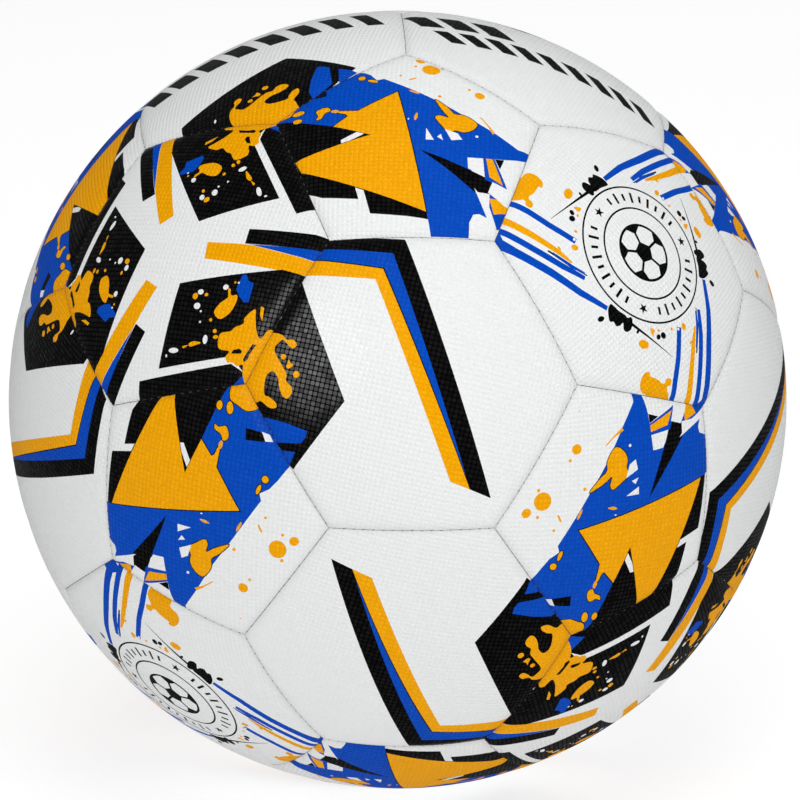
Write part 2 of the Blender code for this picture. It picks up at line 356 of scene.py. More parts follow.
def ball_corners():
    """The sixty corners where three seams meet."""
    tips = []
    for a in (1, -1):
        for b in (GOLDEN, -GOLDEN):
            tips += [Vector((0, a, b)), Vector((a, b, 0)), Vector((b, 0, a))]
    joined = [(p, q) for p in tips for q in tips if abs((p - q).length - EDGE_LENGTH) < NEAR]
    return [(2 * p + q).normalized() for p, q in joined]


def kind_axes(kind):
    """Middle, right and up of a panel kind's flat drawing."""
    middle = KIND_MIDDLES[kind]
    if kind == "chevron":
        right = Vector((1, 0, 0))
        return middle, right, middle.cross(right)
    up = (Vector((0, 0, 1)) - middle * middle.z).normalized()
    return middle, up.cross(middle), up


def kind_outline(kind):
    """The panel's corners in its flat drawing, in mm."""
    middle, right, up = kind_axes(kind)
    nearest = sorted(CORNERS, key=lambda c: -c.dot(middle))[: KIND_SIDES[kind]]
    flat = [(BALL * c.dot(right) / c.dot(middle), BALL * c.dot(up) / c.dot(middle)) for c in nearest]
    return np.array(sorted(flat, key=lambda p: math.atan2(p[1], p[0])))


CORNERS = ball_corners()
OUTLINES = {kind: kind_outline(kind) for kind in KIND_MIDDLES}
print(len(CORNERS), "corners")

# %% [markdown]
# ## A place for each drawing
#
# The print repeats by the twelve turns that bring a cube's three axes round and flip
# them in pairs, so one flat drawing of each kind is enough: a turn carries it to each
# place. The CAD nodes say where the panels are, and the best turn is found for each.

# %% Turns and places
AXIS_ORDERS = ((0, 1, 2), (1, 2, 0), (2, 0, 1))
AXIS_SIGNS = ((1, 1, 1), (1, -1, -1), (-1, 1, -1), (-1, -1, 1))


def turn_matrix(order, signs):
    rows = [[sign if column == source else 0 for column in range(3)]
            for source, sign in zip(order, signs)]
    return Matrix(rows)


TURNS = {(i, j): turn_matrix(order, signs)
         for i, order in enumerate(AXIS_ORDERS) for j, signs in enumerate(AXIS_SIGNS)}


def node_middle(name):
    return sum((v.co for v in NODES[name].data.vertices), Vector()).normalized()


def find_place(name):
    """The panel kind and the turn whose middle is this node's."""
    middle = node_middle(name)
    found = {(kind, turn): (TURNS[turn] @ KIND_MIDDLES[kind]).dot(middle)
             for turn in TURNS for kind in KIND_MIDDLES}
    return max(found, key=found.get)


PLACES = {name: find_place(name) for name in COVER_NODES}
for kind in KIND_MIDDLES:
    print(kind, sum(place[0] == kind for place in PLACES.values()), "panels")

# %% [markdown]
# ## The embossed skin
#
# The skin is rolled with a lattice of small rounded squares before it is printed, so
# every ink shows the same pimples. They could be modelled, but there are eighty thousand
# of them, each a tenth of a millimetre high: that is a job for bump. The pattern reads a
# UV map whose unit is one pimple, so it follows each panel as the real roller's did.

# %% The lattice as a pattern
PIMPLE_PITCH = 1.25          # mm from one pimple to the next
PIMPLE_HEIGHT = 0.11 * MM
PIMPLE_SQUARENESS = 3.5      # 2 would be round, and a large number a true square
PIMPLE_HALF = 0.49           # half width and slope of the part that takes ink, in pitches
PIMPLE_SLOPE = 0.13
SKIN_MAP = "skin"


def pimples(tree, shoulder):
    """Flatness (1 on a pimple, 0 in a furrow), height with the given shoulder, and own number."""
    place = tree.node("ShaderNodeUVMap", {"uv_map": SKIN_MAP})
    offset = tree.vectors("SUBTRACT", tree.vectors("FRACTION", place), (0.5, 0.5, 0))
    across, along = (tree.maths("ABSOLUTE", tree.node("ShaderNodeSeparateXYZ", None, {0: offset}, axis))
                     for axis in "XY")
    power = PIMPLE_SQUARENESS
    reach = (across ** power + along ** power) ** (1 / power)
    flat = ((PIMPLE_HALF - reach) / PIMPLE_SLOPE).eased()
    height = ((0.5 - reach) / shoulder).eased()
    cell = tree.vectors("FLOOR", place)
    own = tree.node("ShaderNodeTexWhiteNoise", {"noise_dimensions": "3D"}, {"Vector": cell})
    return flat, height, own


print(f"{4 * math.pi * (BALL / PIMPLE_PITCH) ** 2:.0f} pimples")

# %% [markdown]
# ## Inks
#
# Four inks are printed: white, black, blue and orange. Their furrows take a darker colour
# than the tops, as painted shade, and a clear lacquer lies on the tops only, so a light
# shows as a grid of small glints. One finish with different numbers makes all four, because
# on the real ball they are the same kind of paint. The seams are darkened as painted shade.

# %% Ink finishes
INKS = {
    # name: (colour on a pimple, colour in a furrow with painted shade, lacquer, depth and shoulder of the
    # relief)
    "white": ((0.80, 0.81, 0.805), (0.755, 0.765, 0.765), 0.5, 1.5, 0.42),
    "black": ((0.0035, 0.003, 0.0035), (0.0004, 0.0003, 0.0004), 1.0, 1.0, 0.15),
    "blue": ((0.0, 0.072, 0.52), (0.0, 0.056, 0.42), 0.14, 2.0, 0.42),
    "orange": ((0.93, 0.41, 0.0), (0.80, 0.33, 0.0), 0.14, 2.3, 0.42),
}
INK_ROUGHNESS = 0.5
INK_SPECULAR = 0.04
LACQUER_ROUGHNESS = 0.21
GRAIN_SCALE = 5200.0         # blotches to the metre, as CLOUD_SCALE
GRAIN_HEIGHT = 0.02 * MM
CLOUD_SCALE = 38.0
CLOUDINESS = 0.35            # how much the clouds shift the colour between the furrow's and the top's
SEAM_NEARNESS = "seam_nearness"
SEAM_PAINTED_SHADE = 0.34             # how much of the painted shade's colour a seam takes


def at_least(least, own):
    """A pimple's own number squeezed into the range from least to 1."""
    return least + (1 - least) * own


def ink_finish(name, top, furrow, lacquer, depth, shoulder):
    material, tree, shader = new_finish(f"ink_{name}")
    flat, height, own = pimples(tree, shoulder)
    place = on_piece(tree)
    grain = noise(tree, place, GRAIN_SCALE)
    cloud = noise(tree, place, CLOUD_SCALE, detail=3.0)
    seam = tree.node("ShaderNodeAttribute", {"attribute_name": SEAM_NEARNESS}, output=2)
    share = (flat * at_least(0.45, own) + (cloud - 0.5) * CLOUDINESS).kept_in_unit()
    # The furrow's colour is darker than the top's: painted shade in the emboss.
    colour_away_from_seam = mixed(tree, share, furrow, top)
    # Towards the seam the colour darkens: painted shade in the groove.
    painted_seam_shade = tuple(0.62 * c + 0.01 for c in furrow)
    feed(shader, "Base Color", mixed(tree, seam * SEAM_PAINTED_SHADE, colour_away_from_seam, painted_seam_shade))
    feed(shader, "Roughness", INK_ROUGHNESS + (cloud - 0.5) * 0.18 + (own - 0.5) * 0.08)
    feed(shader, "Specular IOR Level", INK_SPECULAR)
    feed(shader, "Coat Weight", flat * flat * at_least(0.35, own) * lacquer)
    feed(shader, "Coat Roughness", LACQUER_ROUGHNESS)
    emboss(tree, shader, height * at_least(0.9, own) * (depth * PIMPLE_HEIGHT) + grain * GRAIN_HEIGHT)
    return material


INK_MATERIALS = {name: ink_finish(name, *facts) for name, facts in INKS.items()}
print("inks:", ", ".join(INK_MATERIALS))

# %% [markdown]
# ## Drawing tools for the prints
#
# A print is a stack of flat shapes in millimetres from the panel's middle, later ones
# over earlier ones. Sharp-cornered shapes need only their corners. Splashes are smooth,
# so they are closed curves through a few points, drops are ovals, and a stripe is a line
# with a width at each of its points.

# %% Single shapes of ink
CURVE_STEPS = 5              # points on a splash between two given ones
HOOP_POINTS = 96


def patch(ink, *corners):
    """A shape with sharp corners."""
    return ink, np.array(corners, float)


def splash(ink, *points):
    """A smooth closed shape through the points (a Catmull-Rom curve)."""
    p = np.array(points, float)
    before, after, later = np.roll(p, 1, 0), np.roll(p, -1, 0), np.roll(p, -2, 0)
    curve = []
    for t in np.linspace(0, 1, CURVE_STEPS, endpoint=False):
        curve.append(0.5 * (2 * p + (after - before) * t
                            + (2 * before - 5 * p + 4 * after - later) * t ** 2
                            + (3 * p - before - 3 * after + later) * t ** 3))
    return ink, np.stack(curve, axis=1).reshape(-1, 2)


def circle(count):
    """Points round a circle of radius 1."""
    angles = np.linspace(0, 2 * math.pi, count, endpoint=False)
    return np.stack([np.cos(angles), np.sin(angles)], axis=1)


def turned(points, degrees):
    """Flat points turned anticlockwise about the middle."""
    c, s = math.cos(math.radians(degrees)), math.sin(math.radians(degrees))
    return points @ np.array([[c, s], [-s, c]])


def drop(ink, x, y, wide, tall=None, lean=0.0):
    """An oval of the given half width and half height, leaning by an angle in degrees."""
    tall = tall or wide
    reach = max(wide, tall)
    count = 8 if reach < 0.8 else 14 if reach < 2 else 24
    return ink, turned(circle(count) * (wide, tall), lean) + (x, y)


def band(ink, *stations):
    """A stripe along stations of (x, y, width)."""
    line = np.array([s[:2] for s in stations], float)
    half = np.array([s[2] for s in stations])[:, None] / 2
    course = np.gradient(line, axis=0)
    course /= np.linalg.norm(course, axis=1)[:, None]
    side = np.stack([-course[:, 1], course[:, 0]], axis=1) * half
    return ink, np.concatenate([line + side, (line - side)[::-1]])


def hoop(radius, width):
    """A thin black ring: a black disc under a slightly smaller white one."""
    return [("black", circle(HOOP_POINTS) * (radius + width / 2)),
            ("white", circle(HOOP_POINTS) * (radius - width / 2))]


print("tools for single shapes ready")

# %% [markdown]
# ## Shapes from shapes
#
# Some drawings repeat a third of a turn apart, and where one ink laps over another the
# printer leaves a dark line between them. Both are worked out from the shapes that are
# there, so that nothing is drawn twice.

# %% Copies and edges
TRIO = 3


def three_times(shapes):
    """The shapes and their two copies a third of a turn apart, painted layer by layer."""
    return [(ink, turned(outline, 360 / TRIO * k)) for ink, outline in shapes for k in range(TRIO)]


def edged(shape, width):
    """The shape with a thin black line round it."""
    ink, outline = shape
    after = np.roll(outline, -1, 0) - outline
    before = outline - np.roll(outline, 1, 0)
    turning = np.sum(outline[:, 0] * np.roll(outline[:, 1], -1) - outline[:, 1] * np.roll(outline[:, 0], -1))
    before /= np.linalg.norm(before, axis=1)[:, None]
    after /= np.linalg.norm(after, axis=1)[:, None]
    out = np.stack([before[:, 1] + after[:, 1], -before[:, 0] - after[:, 0]], axis=1)
    out *= math.copysign(1, turning) / np.maximum(np.sum(out ** 2, axis=1) / 2, 0.5)[:, None]
    return [("black", outline + out * width), shape]


print("tools for copies and edges ready")


# %% [markdown]
# ## The chevron panels
#
# Twelve hexagons, the valve's among them, have the end of a black field at one corner,
# with orange splashes on it. Ten of them also carry a bent stripe of three inks. Shapes
# that cross a seam run a little past it here: the cut follows later, as in the factory.

# %% The corner field
def corner_field():
    """The black field at the left corner, with its splashes."""
    crown = splash(
        "orange", (-40, 13.2), (-36.4, 13.3), (-33.6, 12.5), (-32.2, 11.2), (-30.4, 11.1),
        (-29.4, 9.8), (-30.2, 8.9), (-31.4, 9.4), (-33.2, 11.2), (-34.6, 10.4), (-35.6, 9.2),
        (-35.2, 7.6), (-33.6, 5.0), (-32.1, 2.4), (-32.2, 0.6), (-30.8, -0.8), (-30.6, -2.4),
        (-31.8, -3.9), (-33.2, -3.2), (-34.1, -1.0), (-34.5, 1.4), (-35.9, 3.1), (-37.5, 2.4),
        (-38.3, 0.4), (-38.4, -2.8), (-37.0, -3.5), (-35.3, -4.8), (-35.0, -6.2), (-37.0, -6.3),
        (-39.6, -4.6), (-41.3, -5.0), (-46, -5), (-47, 4), (-44, 11))
    return [
        patch("black", (-29.0, 27.0), (-16.8, -4.5), (-31.0, -22.4), (-48, -4), (-48, 6), (-34, 28)),

        patch("blue", (-38.0, -8.9), (-32.8, -10.0), (-26.6, -12.1), (-27.2, -13.9),
              (-28.4, -15.3), (-36.4, -15.4), (-41.5, -9.5)),
        patch("blue", (-36.5, -17.3), (-30.1, -17.6), (-31.5, -20.4), (-33, -22.6)),
        crown,
        drop("orange", -33.0, 6.8, 0.75),
        splash("orange", (-31.5, 6.1), (-31.0, 5.2), (-30.2, 4.7), (-30.6, 4.2), (-31.6, 3.7),
               (-32.2, 4.3), (-31.8, 5.2)),
        drop("orange", -29.4, 2.2, 0.9),
        drop("white", -34.9, 17.4, 0.8, 0.35, -15),
    ]


print(len(corner_field()), "shapes in the corner field")

# %% [markdown]
# ### The bent stripe
#
# The stripe is blue, black and orange, each laid over the last. A press lays pale inks
# first and laps the dark ones over them, so a thin dark line shows where black and
# orange meet. The four pieces share their bend and their point.

# %% The chevron print

def chevron_stripes():
    blue = patch("blue", (-26, 37), (-3, 35), (14.8, -26.9), (-9, 28.0), (-27, 31), (-28.5, 31))
    black = patch("black", (-26, 35.6), (-24.5, 35.8), (-5.0, 33.4), (14.5, -26.8), (20.2, -29.4),
                  (-1.9, 37.6), (-23.0, 39.5))
    overprint = patch("black", (-28.5, 33.3), (-26.0, 32.9), (-7.25, 29.25), (14.7, -26.8),
                      (14.4, -26.8), (-7.6, 28.9), (-28.5, 32.8))
    orange = patch("orange", (-28.5, 33.0), (-26.1, 32.6), (-7.5, 29.0), (14.5, -26.8),
                   (9.4, -24.6), (-9.4, 26.2), (-28.4, 28.4), (-31, 28.0))
    return [blue, black, overprint, orange]


def chevron_print():
    return chevron_stripes() + corner_field()


print(len(chevron_print()), "shapes on a chevron panel")

# %% [markdown]
# ### Speed bars
#
# The two panels at the top carry rows of slanted black blocks in place of the chevron.
# They follow a rule, so a loop draws them: each block stands one pitch below the last,
# and in the long row each is a little smaller.

# %% The speed-bar prints
BAR_LEAN = 5.0               # mm that a bar's right end stands above its left


def speed_bars(left, right, first, pitch, count, tall, thinning=0.0):
    """A column of slanted blocks between two edges, from the first one down."""
    bars = []
    for k in range(count):
        foot = first - pitch * k
        size = tall - thinning * k
        bars.append(patch("black", (left, foot), (right, foot + BAR_LEAN),
                          (right, foot + BAR_LEAN - size), (left, foot - size)))
    return bars


def long_bar_print():
    row = speed_bars(left=-3.5, right=11.0, first=34.0, pitch=8.7, count=8, tall=6.4, thinning=0.25)
    return row + corner_field()


def double_bar_print():
    small = speed_bars(left=5.5, right=13.5, first=29.0, pitch=6.9, count=9, tall=4.2)
    large = speed_bars(left=-8.5, right=2.5, first=-13.0, pitch=9.4, count=3, tall=6.6)
    return small + large + corner_field()


print(len(long_bar_print()), "and", len(double_bar_print()), "shapes on the bar panels")

# %% [markdown]
# ## The star panels
#
# The twelve pentagons carry the busiest drawing: a three-peaked orange star on a blue
# field, black behind its peaks, white slivers and a spray of drops. It could be one
# picture, but then its borders would blur close up, so it is drawn from the back to the
# front as separate shapes, as a screen printer would separate it.

# %% The star and its ground
STAR_LINE = 0.28             # mm, the dark line round the star


def star_ground():
    return [
        patch("black", (-20, 25.2), (-21.6, 22), (-22.9, 12.6), (-17, 13.8), (-9, 33), (-15, 33)),
        patch("black", (-27.3, 9.8), (-18, 11.7), (-24, -5), (-29.5, -6.5), (-28.4, 0)),
        patch("black", (-9.6, 26), (-12, 36), (6.5, 40), (9, 30), (2, 10), (-5, 5)),
        patch("blue", (8.4, 40), (6.2, 32.5), (1, 18.4), (-2, 4), (-27, -4.3), (-34, -5.4),
              (-34, -15.2), (-29.6, -15.2), (-27.2, -16.2), (-26.9, -17.8), (-28, -20),
              (-20.2, -16.9), (-9.9, -15.1), (-9.3, -24.5), (-8.6, -29.2), (-7.6, -33),
              (-5.4, -32), (-5.2, -28.4), (-1, -22.6), (5, -13.4), (10, -6.6), (18.3, 5.4),
              (17.8, 7.2), (20.4, 8.7), (22.6, 11.2), (25.6, 15.4), (30, 20), (20, 42)),
        patch("white", (-5.6, 16.4), (-4.0, 16.6), (-1.7, 12.4), (-2.5, 10.6)),
    ]


def orange_star():
    star = patch("orange", (-9.0, 28.8), (-3.0, 9.1), (1.0, 18.4), (4.2, 14.7), (5.0, 15.2),
                 (5.8, 17.2), (6.4, 16.6), (5.8, 12.1), (12.5, 2.0), (-27.0, -4.2),
                 (-12.8, 27.2), (-10.9, 28.0))
    return edged(star, STAR_LINE)


print(len(star_ground() + orange_star()), "shapes")

# %% [markdown]
# ### Shards below the star
#
# Under the star the field breaks up into shards of all four inks. They touch each other,
# so they are laid one over the other, and each needs only the corners that show.

# %% The shards

def lower_shards():
    return [
        patch("black", (-8.2, -2.9), (-13.4, -9.0), (-20.3, -16.4), (-20.6, -20.4), (-16.7, -21.6),
              (-14.2, -16.2), (-10.6, -8.6)),
        patch("white", (-19.2, -16.4), (-28.2, -19.9), (-31, -20.6), (-31, -22.4), (-24.0, -20.3)),
        patch("white", (-13.3, -14.9), (-9.9, -14.8), (-9.7, -19.2), (-15.7, -19.5)),
        patch("blue", (-16.2, -19.2), (-9.5, -18.8), (-9.4, -21.8), (-19.2, -25.4)),
        patch("orange", (-15.4, -20.4), (-9.6, -19.6), (-9.6, -21.3), (-17.6, -24.0)),
        patch("black", (-12.6, -23.2), (-9.5, -21.9), (-9.4, -24.4)),
        patch("blue", (-24.6, -20.4), (-31, -22.6), (-30, -25), (-23.2, -26.6), (-20.3, -20.4)),
        patch("orange", (-21.9, -20.3), (-26.6, -21.6), (-25.4, -26.4), (-22.3, -27)),
        patch("white", (-20.2, -20.0), (-16.8, -21.2), (-18.4, -24.9), (-21, -28), (-24.2, -27),
              (-23.6, -24.4)),
    ]


print(len(lower_shards()), "shards")

# %% [markdown]
# ### Splats and drops
#
# Where orange ink fell on blue, the two lap over, and a dark line shows round the drop.
# Drops on bare white have none. The round ones differ only in place and size, so a list
# of numbers draws them.

# %% The drops of the star panels
OVERPRINT = 0.24             # mm, the dark line where orange laps over blue


def lapped_drops():
    """The orange that fell on blue."""
    splat = splash(
        "orange", (-1.9, -10.2), (0.6, -8.3), (2.9, -7.1), (3.7, -8.2), (3.2, -10.4), (5.6, -9.0),
        (9.6, -7.4), (7.0, -10.2), (4.6, -12.0), (4.4, -14.2), (3.2, -16.3), (1.4, -17.7),
        (-0.8, -16.2), (-1.7, -14.0), (-1.3, -12.0))
    crown = splash(
        "orange", (11.5, 38), (8.6, 36.2), (7.3, 33.6), (7.8, 30.2), (9.9, 29.0), (12.5, 27.8),
        (14.8, 28.4), (16.4, 30.0), (17.5, 33))
    hook = splash(
        "orange", (4.3, 22.9), (5.6, 22.4), (7.4, 22.9), (8.4, 21.2), (8.2, 19.6), (7.0, 19.2),
        (6.3, 20.6), (4.6, 21.6))
    ovals = [(5.0, 28.0, 0.85, 1.25), (8.0, 27.8, 0.95, 1.7, 8), (19.2, 11.0, 0.95),
             (17.5, 8.2, 0.55, 1.4, -22)]
    drops = [splat, crown, hook] + [drop("orange", *facts) for facts in ovals]
    return [shape for fallen in drops for shape in edged(fallen, OVERPRINT)]


def loose_marks():
    """The orange on bare white, and slivers of the other inks."""
    ovals = [(6.5, 17.9, 0.55, 1.2, -12), (12.4, -2.2, 0.35, 1.5, -28), (22.8, -6.9, 2.4),
             (27.3, -4.3, 1.35, 1.2, 30), (23.9, -9.9, 0.5), (24.2, -2.9, 0.45), (19.6, 1.1, 0.4),
             (18.1, -1.9, 0.3, 1.2, 25), (11.0, -8.5, 0.5), (12.9, -19.0, 1.35), (14.9, -16.4, 0.45),
             (11.2, -28.8, 0.22)]
    return [drop("orange", *facts) for facts in ovals] + [
        splash("orange", (1.6, -2.0), (3.0, -1.9), (4.4, -2.6), (2.8, -2.7)),
        patch("orange", (-1.2, -21.6), (1.8, -20.2), (4.7, -18.2), (4.3, -18.9), (1.4, -21.0),
              (-0.6, -22.3)),
        patch("black", (13.0, 23.4), (17.6, 22.9), (19.0, 20.6), (13.2, 20.3)),
        patch("white", (17.4, 23.1), (19.5, 22.6), (20.6, 20.9), (18.6, 20.7)),
        patch("white", (-4.9, -4.5), (-1.0, -4.7), (-4.9, -6.5)),
        patch("white", (-3.8, -7.3), (-2.8, -8.3), (-4.9, -8.8)),
        patch("white", (-4.7, -10.9), (-1.0, -9.3), (-2.3, -12.6), (-4.2, -13.6)),
        drop("white", -2.7, -17.4, 0.42),
        drop("white", 2.1, -0.4, 0.3, 0.2),
    ]


def star_print():
    return star_ground() + orange_star() + lower_shards() + lapped_drops() + loose_marks()


print(len(star_print()), "shapes on a star panel")

# %% [markdown]
# ## The ring panels
#
# Four hexagons carry two thin rings, where three bundles of stripes swirl in. Their
# drawing looks the same after a third of a turn, so one bundle is enough. Its stripes
# narrow as a brush's do, which is why each of their points has its own width.

# %% One bundle of stripes

def stripe_bundle():
    """The bundle that comes in from the upper left."""
    return [
        band("blue", (-44.5, 20.5, 3.6), (-40.5, 15.9, 3.0), (-37.2, 11.6, 2.4), (-30.0, 3.0, 2.2),
             (-24.4, -4.4, 1.9), (-18.6, -10.4, 1.3)),
        band("blue", (-41.5, 22.6, 2.0), (-38.2, 18.8, 1.9), (-31.6, 10.3, 1.8), (-26.0, 3.4, 1.7),
             (-21.4, -1.4, 1.2)),
        patch("blue", (-46, 18), (-39.6, 19.6), (-38.4, 18.6), (-39.0, 14.6), (-42, 13)),
        band("black", (-28.0, 8.6, 0.5), (-24.0, 3.0, 0.7), (-20.4, -1.0, 0.3)),
        band("blue", (-27.0, 7.6, 0.5), (-23.4, 2.4, 1.0), (-20.8, -0.2, 0.5)),
        band("orange", (-38.5, 24.6, 2.2), (-35.4, 20.8, 2.2), (-29.6, 13.4, 1.8), (-25.2, 7.2, 1.4),
             (-23.0, 3.4, 0.6)),
        band("blue", (-33.5, 27.6, 1.9), (-30.6, 24.4, 1.8), (-27.6, 20.4, 1.8), (-24.0, 14.8, 1.7),
             (-19.0, 8.2, 1.6)),
    ]


print(len(stripe_bundle()), "shapes in a bundle")

# %% [markdown]
# ### Blots and drops
#
# Each bundle has a black blot where it meets the ring, with a long thin scratch, and a
# few orange drops. They turn with their bundle.

# %% The marks round a bundle

def bundle_marks():
    """The blots and drops round one bundle."""
    return [
        band("black", (-13.4, -15.6, 0.9), (-8.0, -21.6, 0.45), (-2.8, -27.4, 0.12)),
        splash("black", (-17.2, -9.6), (-18.6, -10.9), (-19.3, -13.6), (-18.2, -14.1), (-17.9, -15.3),
               (-16.6, -15.5), (-15.5, -15.1), (-16.0, -16.8), (-15.2, -17.6), (-13.6, -17.2),
               (-12.3, -15.2), (-12.6, -14.3), (-13.6, -14.2), (-14.0, -13.4), (-15.4, -11.9),
               (-16.4, -10.3)),
        drop("black", -21.6, -12.4, 1.1, 0.7, 8),
        drop("black", -11.9, -18.4, 0.6, 0.4, 30),
        drop("black", -16.5, 14.1, 0.9, 0.85),
        drop("black", -15.6, 15.6, 0.65, 0.8),
        drop("white", -19.1, 8.8, 0.42),
        drop("orange", -20.1, 6.8, 1.0, 0.8, -30),
        drop("orange", -13.4, 20.7, 1.7, 1.2, 38),
        splash("orange", (-14.2, 16.8), (-12.6, 16.2), (-12.4, 15.6), (-13.6, 15.2)),
        drop("orange", -14.5, 14.3, 0.5, 0.35, 40),
        drop("orange", -17.5, 10.6, 0.45),
        drop("orange", -24.6, 8.0, 0.4, 0.7),
        splash("orange", (-30.4, 26.0), (-28.7, 24.6), (-27.0, 24.0), (-26.6, 23.2), (-27.1, 22.2),
               (-26.1, 20.9), (-24.9, 21.9), (-25.2, 23.4), (-24.6, 24.1), (-22.9, 24.4),
               (-21.3, 25.2), (-20.3, 25.6), (-19.7, 24.9), (-18.6, 26.2), (-18.9, 28.5),
               (-20.1, 30.2), (-21.7, 30.7), (-24.0, 30.2), (-26.5, 32.5), (-31.0, 29.5)),
    ]


print(len(bundle_marks()), "marks round a bundle")

# %% [markdown]
# ### The dial
#
# Between the rings there are plain marks, as on a dial, and a small star where each
# third begins. Angles are easier than coordinates here: a mark is a short stretch of a
# radius, so a loop over the angles places them all.

# %% The dial
RING_RADII = (18.4, 12.2)
RING_LINE = 0.5
MARK_COUNT = 36
MARK_WIDTH = 0.75
MARK_HALVES = (1.0, 1.5)     # half lengths of even and odd marks
STAR_SIZE = 1.5
STAR_WAIST = 0.4             # inner corners, as a share of the size


def outward(angle):
    return np.array([math.cos(angle), math.sin(angle)])


def star_mark(x, y, lean):
    """A small black five-pointed star."""
    points = []
    for k in range(10):
        reach = STAR_SIZE if k % 2 == 0 else STAR_SIZE * STAR_WAIST
        angle = math.radians(lean + 90 + 36 * k)
        points.append((x + reach * math.cos(angle), y + reach * math.sin(angle)))
    return patch("black", *points)


def spoke(out, near, far, width):
    """A straight black line along a radius."""
    return band("black", (*(out * near), width), (*(out * far), width))


def dial():
    """Two rings with plain marks and stars between them."""
    shapes = hoop(RING_RADII[0], RING_LINE) + hoop(RING_RADII[1], RING_LINE)
    middle = sum(RING_RADII) / 2
    third = MARK_COUNT // TRIO
    for k in range(MARK_COUNT):
        angle = 2 * math.pi * k / MARK_COUNT
        out = outward(angle)
        half = MARK_HALVES[k % 2]
        if k % third == 0:
            shapes.append(star_mark(*(out * middle), math.degrees(angle) - 90))
        elif k % third not in (1, third - 1):
            shapes.append(spoke(out, middle - half, middle + half, MARK_WIDTH))
    return shapes


print(len(dial()), "shapes on the dial")

# %% [markdown]
# ### The drawing in the middle
#
# Inside the rings is a plain drawing of a ball: a ring, a five-sided spot, and five
# seams that run from its corners to dark wedges at the rim. Five rays place all of it.

# %% The emblem and the ring print
EMBLEM_RADIUS = 7.4
EMBLEM_LINE = 0.7
SPOT_RADIUS = 2.9
SEAM_SPAN = (2.6, 5.2)       # mm from the middle
WEDGE_SPAN = (5.0, 6.9, 7.5)  # inner tip, side tips and outer tip
WEDGE_HALF = 2.5


def ball_emblem():
    """A plain drawing of a ball."""
    shapes = hoop(EMBLEM_RADIUS, EMBLEM_LINE)
    rays = [outward(math.radians(90 + 72 * k)) for k in range(5)]
    for out in rays:
        inner, middle, outer = (out * reach for reach in WEDGE_SPAN)
        side = WEDGE_HALF * np.array([-out[1], out[0]])
        shapes.append(spoke(out, *SEAM_SPAN, EMBLEM_LINE))
        shapes.append(patch("black", inner, middle + side, outer, middle - side))
    return shapes + [patch("black", *(out * SPOT_RADIUS for out in rays))]


def ring_print():
    return three_times(stripe_bundle() + bundle_marks()) + dial() + ball_emblem()


print(len(ring_print()), "shapes on a ring panel")


# %% [markdown]
# ## The block panels
#
# The last four hexagons carry three black blocks with a white strip beside them, three
# short stripes and the second half of the splash at the corner. They too look the same
# after a third of a turn, so one third is drawn.


# %% The blocks
def block_ground():
    return [
        patch("orange", (8.8, 4.6), (10.1, 0.4), (38.7, 5.1), (44, 5.9), (44, 10.2), (38.8, 9.5),
              (20.4, 7.4)),
        patch("black", (18.4, 11.3), (19.2, 7.3), (39.2, 12.6), (44, 13.6), (44, 17.6), (37.0, 16.6)),
        patch("blue", (20.4, 7.5), (39.0, 9.6), (44, 10.3), (44, 13.7), (39.2, 12.7)),
        patch("black", (6.1, -7.3), (32.5, 4.4), (44, 5.6), (44, -28), (36.5, -27.5), (33.4, -24.4),
              (31.4, -23.0), (27.6, -21.4), (8.1, -29.8)),
        patch("black", (2.8, -34.6), (29.0, -23.0), (33.0, -24.2), (37.5, -27), (38, -33), (3.9, -44),
              (3.6, -39.6)),
        patch("blue", (34.8, -24.4), (33.4, -25.0), (30.8, -29.6), (40, -30)),
    ]


print(len(block_ground()), "shapes in a third")

# %% [markdown]
# ### The splash over the seam
#
# The orange splash runs over the seam into the corner field of the next panel, so its
# outline goes a little past the edge. Round it lie white and orange drops.

# %% The block print

def block_splash():
    crown = splash(
        "orange", (29.9, -7.6), (28.1, -10.4), (28.3, -12.1), (26.4, -13.6), (25.6, -14.9),
        (23.0, -16.3), (23.4, -19.2), (24.6, -20.2), (27.2, -20.0), (26.8, -21.6), (27.8, -22.9),
        (29.4, -22.6), (30.9, -23.2), (32.4, -22.4), (33.2, -24.8), (34.9, -27.6), (37, -28.5),
        (38.5, -20), (37.6, -12.2), (35.8, -11.6), (34.6, -14.4), (32.6, -12.6), (31.0, -9.6))
    blue_blot = patch("blue", (22.6, -0.3), (23.6, 0.0), (24.9, -1.3), (26.6, -1.5), (27.4, -6.4),
                      (26.2, -6.9), (24.2, -5.9), (22.5, -4.2))
    oval = splash(
        "orange", (20.4, -5.0), (21.0, -4.8), (21.9, -6.2), (23.4, -5.7), (24.0, -7.2), (23.5, -10.4),
        (21.8, -12.6), (20.2, -12.6), (19.0, -11.4), (19.6, -9.2), (20.8, -7.6), (21.2, -6.8))
    return [
        crown,
        blue_blot,
        oval,
        patch("black", (28.0, -20.4), (28.2, -19.4), (29.8, -18.5), (30.8, -18.9), (30.8, -19.7)),
        patch("black", (33.0, -16.4), (34.2, -16.2), (33.6, -17.8), (33.2, -19.4), (33.3, -20.6),
              (32.4, -21.6), (31.9, -20.9), (32.4, -18.6)),
        patch("orange", (31.2, -6.4), (32.2, -6.5), (33.3, -10.0), (31.9, -8.6)),
    ]


